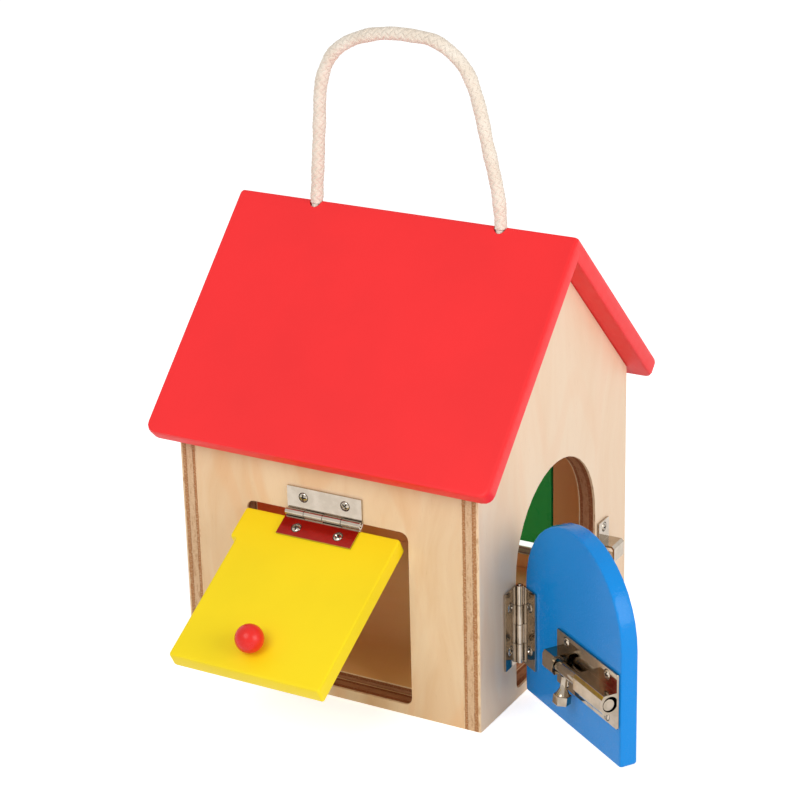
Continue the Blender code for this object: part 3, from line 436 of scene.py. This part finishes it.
bpy.ops.mesh.primitive_plane_add(size=FLOOR_SIZE, location=(0, 0, 0))
floor = bpy.context.active_object
floor.name = "studio_floor"
paper, tree, shader = fresh_material("white_paper")
matt = add(tree, "ShaderNodeBsdfDiffuse", {"Color": PAPER})
glow = add(tree, "ShaderNodeEmission", {"Color": WHITE, "Strength": sums(
    tree, "MULTIPLY", seen_directly(tree), FLOOR_GLOW)})
both = add(tree, "ShaderNodeAddShader", {0: matt.outputs[0], 1: glow.outputs[0]})
tree.links.new(both.outputs[0], tree.nodes["Material Output"].inputs["Surface"])
tree.nodes.remove(shader)
floor.data.materials.append(paper)
bpy.context.scene.view_settings.view_transform = "Standard"
print("ambient light", AMBIENT, "of white")

# %% [markdown]
# Wood first. Birch plywood shows two faces: the rotary-cut face veneer, pale, with a faint flame figure
# that runs up the wall, and the sawn edge, where the layers lie like the pages of a book, pale skin, brown
# cross layers and a tan core. One material per wall reads how deep in the board a point lies, and the
# direction that its surface faces, and mixes the two. The inner faces are tinted orange, a painted glow for
# the warm light that bounces round inside the box.

# %% Birch plywood
PLY = 9 * MM
PLY_PALE = (0.84, 0.61, 0.37)
PLY_BROWN = (0.40, 0.17, 0.06)
PLY_GLUE = (0.22, 0.08, 0.025)
PLY_CORE = (0.66, 0.43, 0.25)
LAYERS = ((0.0, PLY_PALE), (0.13, PLY_PALE), (0.16, PLY_BROWN), (0.35, PLY_BROWN), (0.37, PLY_GLUE),
          (0.39, PLY_CORE), (0.74, PLY_CORE), (0.76, PLY_GLUE), (0.78, PLY_BROWN), (0.92, PLY_BROWN),
          (0.95, PLY_PALE), (1.0, PLY_PALE))
REVEAL = (0.46, 0.20, 0.075)      # the sawn edges of an opening are drawn browner than the other edges
OPENING_REACH = 75 * MM           # which lies nearer the middle of a wall than this
# painted bounce light: the inner faces are tinted this orange
INSIDE_BOUNCE_TINT = (0.95, 0.55, 0.21)
WARM_FACE = ((0.86, 0.65, 0.42), (0.77, 0.51, 0.28), (0.80, 0.44, 0.20))
COOL_FACE = ((0.86, 0.66, 0.47), (0.82, 0.58, 0.38), (0.84, 0.56, 0.36))


def sawn_edge(tree, x, z, depth):
    """The layers' colour by depth, and the height of their cut ends."""
    def across_layers(thickness):
        """A vector in which the board is this thick, so that the noise stretches through its layers."""
        return add(tree, "ShaderNodeCombineXYZ", {"X": x, "Z": z, "Y": sums(
            tree, "MULTIPLY", depth, thickness)}).outputs[0]

    streak = noise(tree, across_layers(0.03), 270, 3.0, 0.6)
    ends = between(tree, noise(tree, across_layers(0.004), 1700, 2.0, 0.6), 0.42, 0.7)
    wavy = sums(tree, "ADD", depth, sums(tree, "MULTIPLY", sums(tree, "SUBTRACT", streak, 0.5), 0.04))
    layers = add(tree, "ShaderNodeValToRGB", {"Fac": wavy})
    elements = layers.color_ramp.elements
    elements.remove(elements[-1])
    elements[0].position, elements[0].color = LAYERS[0][0], (*LAYERS[0][1], 1)
    for place, colour in LAYERS[1:]:
        elements.new(place).color = (*colour, 1)
    edge = blend(tree, sums(tree, "MULTIPLY", ends, 0.42), layers.outputs["Color"], PLY_PALE)
    edge = blend(tree, between(tree, streak, 0.48, 0.72, 0, 0.6), edge, PLY_BROWN)
    off_core = sums(tree, "ABSOLUTE", sums(tree, "SUBTRACT", depth, 0.52))
    inner_layers = between(tree, off_core, 0.36, 0.42, 0.75, 0)
    opening = between(tree, sums(tree, "ABSOLUTE", x), OPENING_REACH - MM, OPENING_REACH + MM, 1, 0)
    return blend(tree, sums(tree, "MULTIPLY", opening, inner_layers), edge, REVEAL, "MULTIPLY"), ends


def plywood(name, across, through, along, outer, inward, tones):
    """Birch plywood. The axes are X, Y or Z. The board's outer face lies at outer on its through axis."""
    made, tree, shader = fresh_material(name)
    coordinates = add(tree, "ShaderNodeTexCoord")
    place = add(tree, "ShaderNodeSeparateXYZ", {"Vector": coordinates.outputs["Object"]})
    facing = add(tree, "ShaderNodeSeparateXYZ", {"Vector": coordinates.outputs["Normal"]})
    x, z = place.outputs[across], place.outputs[along]
    depth = sums(tree, "MULTIPLY", sums(tree, "SUBTRACT", place.outputs[through], outer), inward / PLY)
    on_face = between(tree, sums(tree, "ABSOLUTE", facing.outputs[through]), 0.55, 0.9)

    def along_grain(wide, long, drift=0.0):
        """A vector for a noise with so many lumps a metre across the grain and along it."""
        moved = sums(tree, "ADD", x, drift) if drift else x
        return add(tree, "ShaderNodeCombineXYZ", {"X": sums(tree, "MULTIPLY", moved, wide), "Y": sums(
            tree, "MULTIPLY", z, long), "Z": sums(tree, "MULTIPLY", depth, 0.4)}).outputs[0]

    sway = sums(tree, "MULTIPLY", noise(tree, along_grain(16, 9)), 0.03)
    figure = noise(tree, along_grain(46, 9, sway), 1, 4.0, 0.55, 0.8)
    flame = noise(tree, along_grain(95, 17, sway), 1, 2.0, 0.5, 0.6)
    fibre = noise(tree, along_grain(1500, 45, sway), 1, 3.0, 0.6)
    pores = between(tree, noise(tree, along_grain(2600, 190), 1, 1.0), 0.66, 0.74)
    hills = noise(tree, along_grain(11, 3.4, sway), 1, 1.5, 0.45, 0.4)
    rings = between(tree, sums(tree, "SINE", sums(tree, "MULTIPLY", hills, 62.0)), 0.3, 1.0, 0, 0.32)
    pale, tan, blush = tones
    face = blend(tree, between(tree, figure, 0.35, 0.75), pale, tan)
    face = blend(tree, between(tree, flame, 0.55, 0.78, 0, 0.3), face, blush)
    face = blend(tree, rings, face, blush)
    face = blend(tree, sums(tree, "MULTIPLY", fibre, 0.14), face, tan)
    face = blend(tree, sums(tree, "MULTIPLY", pores, 0.12), face, PLY_BROWN)
    # The inner face is drawn more orange: a painted tint for the warm light that bounces round inside the
    # box.
    face = blend(tree, between(tree, depth, 0.9, 0.99, 0, 0.85), face, INSIDE_BOUNCE_TINT)
    edge, ends = sawn_edge(tree, x, z, depth)
    tree.links.new(blend(tree, on_face, edge, face), shader.inputs["Base Color"])
    tree.links.new(between(tree, on_face, 0, 1, 0.65, 0.42), shader.inputs["Roughness"])
    shader.inputs["Specular IOR Level"].default_value = 0.3
    cut = sums(tree, "MULTIPLY", ends, sums(tree, "SUBTRACT", 1.0, on_face))
    bumpy(tree, shader, sums(tree, "MULTIPLY_ADD", fibre, 0.5, cut), 0.12, 0.2 * MM)
    return made


HALF = 80 * MM             # from the middle of the house to its outer faces
WALLS = {
    "front_wall": plywood("birch_front", "X", "Y", "Z", -HALF, 1, WARM_FACE),
    "back_wall": plywood("birch_back", "X", "Y", "Z", HALF, -1, WARM_FACE),
    "left_gable": plywood("birch_left", "Y", "X", "Z", -HALF, 1, COOL_FACE),
    "right_gable": plywood("birch_right", "Y", "X", "Z", HALF, -1, COOL_FACE),
    "floor_panel": plywood("birch_floor", "Y", "Z", "X", 0, 1, WARM_FACE),
}
print(len(WALLS), "plywood materials")

# %% [markdown]
# Paint on plywood is a satin to gloss skin that is never quite flat. A fine noise gives the ripple of a
# sprayed coat, a wider one slight waves, and stretched fibres of the veneer still show through along the
# grain. Peel says how deep all three are. The blue door has the shiniest coat, which mirrors a lamp on its
# rounded edge.

# %% Paint
def paint(name, colour, roughness, shine=0.2, peel=0.5, grain=0.3, ripple=0.2):
    """A sprayed coat on wood whose grain stands upright."""
    made, tree, shader = fresh_material(name)
    place = add(tree, "ShaderNodeTexCoord").outputs["Object"]
    tone = between(tree, noise(tree, place, 18, 3.0), 0.3, 0.7)
    deep = tuple(value * 0.94 for value in colour)
    tree.links.new(blend(tree, tone, deep, colour), shader.inputs["Base Color"])
    swell = noise(tree, place, 210, 2.0, 0.5, 0.5)
    fine = noise(tree, place, 900)
    upright = add(tree, "ShaderNodeMapping", {"Vector": place, "Scale": (900, 900, 30)}).outputs[0]
    fibre = noise(tree, upright, 1, 3.0, 0.6)
    tree.links.new(between(tree, swell, 0.2, 0.8, roughness - 0.04, roughness + 0.04),
                   shader.inputs["Roughness"])
    shader.inputs["Specular IOR Level"].default_value = shine
    height = sums(tree, "MULTIPLY_ADD", fine, ripple, sums(tree, "MULTIPLY_ADD", fibre, grain, swell))
    bumpy(tree, shader, height, peel, 0.06 * MM)
    return made


roof_red = paint("roof_red", (0.94, 0.026, 0.029), 0.42, shine=0.26, grain=0.1)
flap_yellow = paint("flap_yellow", (0.98, 0.74, 0.010), 0.42)
ball_red = paint("ball_red", (0.80, 0.022, 0.016), 0.3, shine=0.3, peel=0.15, grain=0)
door_blue = paint("door_blue", (0.004, 0.25, 0.71), 0.08, shine=0.17, peel=1.0, ripple=2.2)
door_green = paint("door_green", (0.045, 0.78, 0.17), 0.3)
door_red = paint("door_red", (0.94, 0.12, 0.016), 0.3)
print("six paints")

# %% [markdown]
# The fittings are steel with a bright nickel plating, a little warmer than chrome. Stamped sheet is never a
# perfect mirror: a slow swell bends its reflections, and fine rubbing marks blur them. In a countersink and
# in the cross of a screw the steel is drawn dark, as painted shade for the shadow in these hollows. The
# barrel bolt's nickel is drawn darker than the hinges', as a painted reflection of the darker surroundings
# that it mirrors.

# %% Nickel
def plated(name, dull, bright):
    """Nickel plating whose tone wanders between two colours."""
    made, tree, shader = fresh_material(name)
    place = add(tree, "ShaderNodeTexCoord").outputs["Object"]
    stains = between(tree, noise(tree, place, 150, 3.0, 0.6), 0.35, 0.65)
    rubbed = noise(tree, place, 1400, 4.0, 0.7)
    tree.links.new(blend(tree, stains, dull, bright), shader.inputs["Base Color"])
    tree.links.new(between(tree, rubbed, 0.3, 0.7, 0.06, 0.12), shader.inputs["Roughness"])
    shader.inputs["Metallic"].default_value = 1.0
    swell = noise(tree, place, 60, 1.0)
    bumpy(tree, shader, sums(tree, "MULTIPLY_ADD", rubbed, 0.03, swell), 0.15, 0.1 * MM)
    return made


nickel = plated("nickel_plate", (0.45, 0.385, 0.31), (0.52, 0.45, 0.37))
# The bolt's nickel is darker: a painted reflection of the darker surroundings that its plate mirrors.
bolt_nickel_painted_dark = plated("bolt_nickel_painted_dark", (0.33, 0.275, 0.21), (0.42, 0.355, 0.28))
# Dark steel for the countersinks and the screws' recesses: painted shade where shadow falls into these
# hollows.
painted_shade_steel, tree, shader = fresh_material("painted_shade_steel")
place = add(tree, "ShaderNodeTexCoord").outputs["Object"]
stains = between(tree, noise(tree, place, 900, 3.0, 0.6), 0.35, 0.65)
tree.links.new(blend(tree, stains, (0.05, 0.04, 0.03), (0.12, 0.10, 0.08)), shader.inputs["Base Color"])
shader.inputs["Metallic"].default_value = 0.6
shader.inputs["Roughness"].default_value = 0.45
print("two platings and the bare steel under them")

# %% [markdown]
# Cotton scatters light softly, has no highlight, and has a bloom of loose fibres at its edge, which the
# sheen gives. Each yarn is twisted from finer ones, and its UV runs along and round it, so slanting stripes
# on the UV read as that twist.

# %% Cotton
cotton, tree, shader = fresh_material("cotton_yarn")
coordinates = add(tree, "ShaderNodeTexCoord")
lay = add(tree, "ShaderNodeSeparateXYZ", {"Vector": coordinates.outputs["UV"]})
turn = sums(tree, "MULTIPLY_ADD", lay.outputs["X"], 14.0, sums(tree, "MULTIPLY", lay.outputs["Y"], 3.0))
twist = sums(tree, "MULTIPLY_ADD", sums(tree, "SINE", sums(tree, "MULTIPLY", turn, math.tau)), 0.5, 0.5)
fluff = noise(tree, coordinates.outputs["Object"], 1500, 3.0, 0.6)
tone = between(tree, noise(tree, coordinates.outputs["Object"], 90), 0.3, 0.7)
shade = blend(tree, tone, (0.80, 0.69, 0.57), (0.86, 0.77, 0.66))
shade = blend(tree, sums(tree, "MULTIPLY", twist, 0.06), shade, (0.76, 0.64, 0.50))
tree.links.new(blend(tree, sums(tree, "MULTIPLY", fluff, 0.2), shade, (0.92, 0.85, 0.75)),
               shader.inputs["Base Color"])
shader.inputs["Roughness"].default_value = 0.95
shader.inputs["Specular IOR Level"].default_value = 0.1
shader.inputs["Sheen Weight"].default_value = 0.2
bumpy(tree, shader, sums(tree, "MULTIPLY_ADD", twist, 0.4, fluff), 0.12, 0.08 * MM)
for rope in (carrying_rope, left_knot, right_knot):
    rope.data.materials.append(cotton)
print("cotton on the rope and its two ends")

# %% [markdown]
# A CAD solid comes as loose triangles, one flat facet beside another. Where a rounded rim or a curved
# reveal should look round, a copy is merged into one skin, its flat triangles dissolved into faces, its
# sharp edges broken by a narrow bevel that catches the light, and its normals weighted to the large faces.
# The copy lies in the same place and then stands for the solid.

# %% Softened copies of the solids
MERGE = 0.01 * MM
FLAT_ANGLE = math.radians(0.3)        # triangles that lie flatter than this become one face
ROUND_ANGLE = math.radians(40)        # edges flatter than this are shaded round
SHARP_ANGLE = math.radians(50)        # and sharper ones than this are broken


def only(piece):
    """Select one object and nothing else."""
    bpy.ops.object.select_all(action="DESELECT")
    piece.select_set(True)
    bpy.context.view_layer.objects.active = piece


def softened(node, name, finish, bevel=0.0):
    """A copy of a CAD solid with real faces, broken edges and smooth rounds, which stands for it."""
    solid = frame["nodes"][node]
    piece = bpy.data.objects.new(name, solid.data.copy())
    bpy.context.scene.collection.objects.link(piece)
    piece.data.materials.clear()
    piece.data.materials.append(finish)
    only(piece)
    bpy.ops.mesh.customdata_custom_splitnormals_clear()
    bpy.ops.object.mode_set(mode="EDIT")
    bpy.ops.mesh.select_all(action="SELECT")
    bpy.ops.mesh.remove_doubles(threshold=MERGE)
    bpy.ops.mesh.dissolve_limited(angle_limit=FLAT_ANGLE)
    bpy.ops.object.mode_set(mode="OBJECT")
    if bevel:
        broken = piece.modifiers.new("broken_edges", "BEVEL")
        broken.width = bevel
        broken.segments = 2
        broken.limit_method = "ANGLE"
        broken.angle_limit = SHARP_ANGLE
        bpy.ops.object.modifier_apply(modifier=broken.name)
    bpy.ops.object.shade_smooth_by_angle(angle=ROUND_ANGLE)
    weighted = piece.modifiers.new("weighted", "WEIGHTED_NORMAL")
    weighted.keep_sharp = True
    bpy.ops.object.modifier_apply(modifier=weighted.name)
    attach(piece, solid["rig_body"])
    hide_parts(node)
    return piece


# %% [markdown]
# The walls are glued, and the paint fills the mitre of the roof. The CAD model leaves a hair between such
# pieces, so the copies are drawn out by that hair until they touch.

# %% Boards
BOARD_EDGE = 0.25 * MM
WALL_HAIR = 0.5 * MM       # points of a wall that lie nearer the gable than this go to it
ROOF_HAIR = 0.4 * MM       # and points of the roof that lie nearer its mitre than this
DOORS = {
    "yellow_flap": (flap_yellow, "yellow_paint"),
    "blue_door": (door_blue, "blue_paint"),
    "green_door": (door_green, "green_paint"),
    "red_door": (door_red, "red_door_paint"),
}

for node, finish in WALLS.items():
    board = softened(node, node.replace("_panel", "") + "_board", finish, BOARD_EDGE)
    for vertex in board.data.vertices:
        if "wall" in node and abs(vertex.co.x) > HALF - PLY - WALL_HAIR:
            vertex.co.x = math.copysign(HALF - PLY, vertex.co.x)
for side in ("front", "back"):
    board = softened(f"{side}_roof_panel", f"{side}_roof_board", roof_red)
    for vertex in board.data.vertices:
        if abs(vertex.co.y) < ROOF_HAIR:
            vertex.co.y = 0
for node, (finish, slot) in DOORS.items():
    softened(node, node + "_board", finish)
print(len(WALLS), "plain boards, 2 roof boards and", len(DOORS), "doors")

# %% [markdown]
# Screws, pins, the rod and the ball are turned on a lathe. So they are made here: a profile is drawn by
# extruding one point again and again, and then spun round the Z axis. Where the solid stands in the house
# comes from the solid itself: its points balance on its middle line, and the spread of the points is
# equal in the two directions across that line and different along it.

# %% Turned pieces
TURNED_ANGLE = math.radians(35)
SHANK_SPLIT = -4 * MM      # under this height a model's shank is drawn out to the solid's length


def lathe(name, profile, steps, finish):
    """Spin a profile of (radius, height) in millimetres round Z into a closed skin."""
    bpy.ops.object.select_all(action="DESELECT")
    bpy.ops.mesh.primitive_plane_add(size=MM, location=(0, 0, 0))
    piece = bpy.context.active_object
    piece.name = name
    bpy.ops.object.mode_set(mode="EDIT")
    bpy.ops.mesh.select_all(action="SELECT")
    bpy.ops.mesh.merge(type="CENTER")
    points = [Vector((radius, 0, height)) * MM for radius, height in profile]
    bpy.ops.transform.translate(value=points[0])
    for here, there in zip(points, points[1:]):
        bpy.ops.mesh.extrude_region_move(TRANSFORM_OT_translate={"value": there - here})
    bpy.ops.mesh.select_all(action="SELECT")
    bpy.ops.mesh.spin(steps=steps, angle=math.tau, center=(0, 0, 0), axis=(0, 0, 1))
    bpy.ops.mesh.select_all(action="SELECT")
    bpy.ops.mesh.remove_doubles(threshold=MERGE)
    bpy.ops.mesh.normals_make_consistent(inside=False)
    bpy.ops.object.mode_set(mode="OBJECT")
    bpy.ops.object.shade_smooth_by_angle(angle=TURNED_ANGLE)
    piece.data.materials.append(finish)
    return piece


def middle_line(node):
    """A round solid's middle line: its top point, its direction to the top, and its length."""
    points = numpy.array([vertex.co for vertex in frame["nodes"][node].data.vertices])
    middle = points.mean(axis=0)
    spread, ways = numpy.linalg.eigh(numpy.cov((points - middle).T))
    odd_one = 2 if spread[1] - spread[0] < spread[2] - spread[1] else 0
    way = ways[:, odd_one]
    along = (points - middle) @ way
    across = numpy.linalg.norm(points - middle - numpy.outer(along, way), axis=1)
    if along[across.argmax()] < (along.max() + along.min()) / 2:
        way, along = -way, -along
    return Vector(middle + way * along.max()), Vector(way), along.max() - along.min()


def stand_for(model, node, name, turn=0.0, way=None, drawn_out=False):
    """A copy of a turned model with its top at the node's top, which stands for the node. Turn is about
    its own line, way is that line where the solid's points don't give it, and drawn_out gives it the
    solid's length."""
    top, direction, length = middle_line(node)
    if way:
        top = max((vertex.co for vertex in frame["nodes"][node].data.vertices), key=way.dot).copy()
        direction = way
    piece = bpy.data.objects.new(name, model.data.copy())
    bpy.context.scene.collection.objects.link(piece)
    extra = length + min(vertex.co.z for vertex in piece.data.vertices) if drawn_out else 0
    for vertex in piece.data.vertices:
        if vertex.co.z < SHANK_SPLIT:
            vertex.co.z -= extra
    stand = Matrix.Translation(top) @ direction.to_track_quat("Z", "Y").to_matrix().to_4x4()
    piece.data.transform(stand @ Matrix.Rotation(turn, 4, "Z"))
    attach(piece, frame["nodes"][node]["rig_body"])
    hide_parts(node)
    return piece


# %% [markdown]
# Hinge leaves, the bolt's plate, the keeper, the hook and the turn button are stamped from sheet. Their
# copies get a narrow broken edge, which draws the bright line that plated sheet shows. The countersinks
# round the screws get the dark steel, as painted shade: those are the slanting faces close to a screw's
# middle line.

# %% Stamped fittings
LEAF_EDGE = 0.16 * MM
FITTING_EDGE = 0.12 * MM
MOUTH = 2.95 * MM          # from the screw's middle line to the rim of a countersink
SLANTING = (0.3, 0.95)     # how far a countersink's face turns to that line, 1 being square to it


def paint_countersink_shade(plate, screws):
    """Give the slanting faces round each screw the dark steel, painted shade for the hollow of the
    countersink.
    """
    plate.data.materials.append(painted_shade_steel)
    lines = [middle_line(screw)[:2] for screw in screws]
    for face in plate.data.polygons:
        for top, way in lines:
            off = face.center - top
            off -= way * off.dot(way)
            if off.length < MOUTH and SLANTING[0] < abs(face.normal.dot(way)) < SLANTING[1]:
                face.material_index = 1


COLOURS = ("yellow", "blue", "green", "red")
LEAVES = [(colour, part) for colour in COLOURS for part in ("wall", "door")]
BOLT_SCREWS = [f"bolt_screw_{number}" for number in (1, 2, 3, 4)]
KEEPER_SCREWS = [f"keeper_screw_{number}" for number in (1, 2)]
FITTINGS = {
    "bolt_plate": (bolt_nickel_painted_dark, BOLT_SCREWS),
    "bolt_keeper": (nickel, KEEPER_SCREWS),
    "green_hook": (nickel, []),
    "red_turn_button": (nickel, []),
    "bolt_knob": (bolt_nickel_painted_dark, []),
}


def hinge_screws(colour, part):
    """The two screws of one leaf."""
    return [f"{colour}_hinge_{part}_screw_{number}" for number in (1, 2)]


for colour, part in LEAVES:
    plate = softened(f"{colour}_hinge_{part}_leaf", f"{colour}_{part}_leaf", nickel, LEAF_EDGE)
    paint_countersink_shade(plate, hinge_screws(colour, part))
for node, (finish, screws) in FITTINGS.items():
    plate = softened(node, node + "_plated", finish, FITTING_EDGE)
    if screws:
        paint_countersink_shade(plate, screws)
print(len(LEAVES), "leaves and", len(FITTINGS), "other fittings")

# %% [markdown]
# A wood screw's head carries a cross recess for the driver. Two tapered blades cut it. The screws of the
# leaves, the plate and the keeper have a countersunk head with a low crown. Those of the hook, its catch,
# the turn button and the ball have round heads.

# %% Screws
BLADE_TAPER = (0.35, 0.6, 1)      # the blade's lower end as a share of its upper one
RECESS_ANGLE = math.radians(30)
RECESS_SHARE = 0.9                # of the recess's depth, under which a face is its floor


def cross_recess(screw, reach, width, depth):
    """Cut a cross into the top of a screw head, sizes in millimetres."""
    for turn in (0, math.pi / 2):
        bpy.ops.object.select_all(action="DESELECT")
        bpy.ops.mesh.primitive_cube_add(size=MM, location=(0, 0, 0))
        blade = bpy.context.active_object
        bpy.ops.object.mode_set(mode="EDIT")
        bpy.ops.mesh.select_all(action="SELECT")
        bpy.ops.transform.resize(value=(reach * 2, width, depth * 2))
        bpy.ops.mesh.select_all(action="DESELECT")
        bpy.ops.object.mode_set(mode="OBJECT")
        for face in blade.data.polygons:
            face.select = round(face.normal.z) == -1
        bpy.ops.object.mode_set(mode="EDIT")
        bpy.ops.transform.resize(value=BLADE_TAPER)
        bpy.ops.mesh.select_all(action="SELECT")
        bpy.ops.transform.rotate(value=turn, orient_axis="Z", center_override=(0, 0, 0))
        bpy.ops.object.mode_set(mode="OBJECT")
        only(screw)
        cut = screw.modifiers.new("recess", "BOOLEAN")
        cut.object = blade
        cut.operation = "DIFFERENCE"
        cut.solver = "EXACT"
        bpy.ops.object.modifier_apply(modifier=cut.name)
        bpy.data.objects.remove(blade)
    bpy.ops.object.shade_smooth_by_angle(angle=RECESS_ANGLE)
    # The recess and all faces under the head's rim get the dark steel: painted shade where the cross and
    # countersink lie in shadow.
    screw.data.materials.append(painted_shade_steel)
    for face in screw.data.polygons:
        face.material_index = int(face.normal.z < 0.5 or face.center.z < -depth * RECESS_SHARE * MM)


SCREW_STEPS = 24           # around; the profiles are in millimetres, as (radius, height) from the top
SHANK = [(1.2, -1.8), (1.2, -6.2), (0.9, -6.8), (0, -8.4)]
LOW_CROWN = [(0, 0), (0.7, -0.05), (1.2, -0.16), (1.7, -0.34), (2.05, -0.54), (2.15, -0.66), (2.1, -0.78)]
ROUND_HEAD = [(0, 0), (0.9, -0.07), (1.7, -0.3), (2.35, -0.7), (2.8, -1.2), (3.0, -1.75), (2.9, -1.8)]
DRIVEN_TURN = 0.9          # radians from one sunk screw to the next, as a driver leaves them
sunk = [screw for leaf in LEAVES for screw in hinge_screws(*leaf)] + BOLT_SCREWS + KEEPER_SCREWS
proud = ["green_hook_screw", "green_catch_screw", "red_turn_screw", "yellow_knob_screw"]

sunk_screw = lathe("sunk_screw", LOW_CROWN + SHANK, SCREW_STEPS, nickel)
cross_recess(sunk_screw, reach=2.5, width=1.0, depth=1.0)
round_screw = lathe("round_screw", ROUND_HEAD + SHANK, SCREW_STEPS, nickel)
cross_recess(round_screw, reach=2.6, width=0.95, depth=1.3)
for number, node in enumerate(sunk):
    stand_for(sunk_screw, node, node.replace("_screw", "_crosshead"), turn=number * DRIVEN_TURN)
for node in proud:
    stand_for(round_screw, node, node.replace("_screw", "_crosshead"), turn=0.5, drawn_out=True)
bpy.data.objects.remove(sunk_screw)
bpy.data.objects.remove(round_screw)
print(len(sunk), "sunk and", len(proud), "round screws")

# %% [markdown]
# The pins of the hinges and the rod of the bolt are plain bars with broken ends, and the ball is a sphere
# on a short neck, turned from one piece of wood and painted.

# %% Pins, rod and ball
PIN_LENGTH = 41.2          # in millimetres, like the profiles of the screws
PIN_END = [(0, 0), (0.49, -0.12), (0.7, -0.42)]
ROD_LENGTH = 52
ROD_END = [(0, 0), (2.45, 0), (2.75, -0.12), (2.9, -0.4)]
BALL_RADIUS = 6.7
BALL_POINTS = 30
BALL_SWEEP = 153.4         # degrees, from the top of the ball to its neck
NECK = [(2.85, -12.9), (2.85, -13.1), (3.0, -13.4), (0, -13.4)]


def bar(end, length):
    """A bar's profile from the points of one end. The other end mirrors them."""
    return end + [(radius, -length - height) for radius, height in reversed(end)]


hinge_pin = lathe("hinge_pin", bar(PIN_END, PIN_LENGTH), 20, nickel)
for colour in COLOURS:
    stand_for(hinge_pin, f"{colour}_hinge_pin", f"{colour}_pin")
bpy.data.objects.remove(hinge_pin)
rod_model = lathe("rod", bar(ROD_END, ROD_LENGTH), 40, bolt_nickel_painted_dark)
stand_for(rod_model, "bolt_rod", "bolt_rod_plated")
bpy.data.objects.remove(rod_model)

arc = [math.radians(90 - BALL_SWEEP * part / BALL_POINTS) for part in range(BALL_POINTS + 1)]
rim = [(BALL_RADIUS * math.cos(turn), BALL_RADIUS * (math.sin(turn) - 1)) for turn in arc]
ball_model = lathe("ball", rim + NECK, 48, ball_red)
# This was meant for the ball's top. The point lies 1.8 mm beside it, so it leaves a dent 0.2 mm deep.
ball_model.data.vertices[0].co.xy = (0, 0)
outward = -middle_line("yellow_knob_screw")[1]
stand_for(ball_model, "yellow_knob", "ball_knob", way=outward)
bpy.data.objects.remove(ball_model)
print("4 pins, the rod and the ball")

# %% [markdown]
# Last, the names of any CAD nodes that are still shown are printed.

# %% CAD nodes still shown
print("CAD nodes still shown:", [name for name, node in frame["nodes"].items() if not node.hide_render])
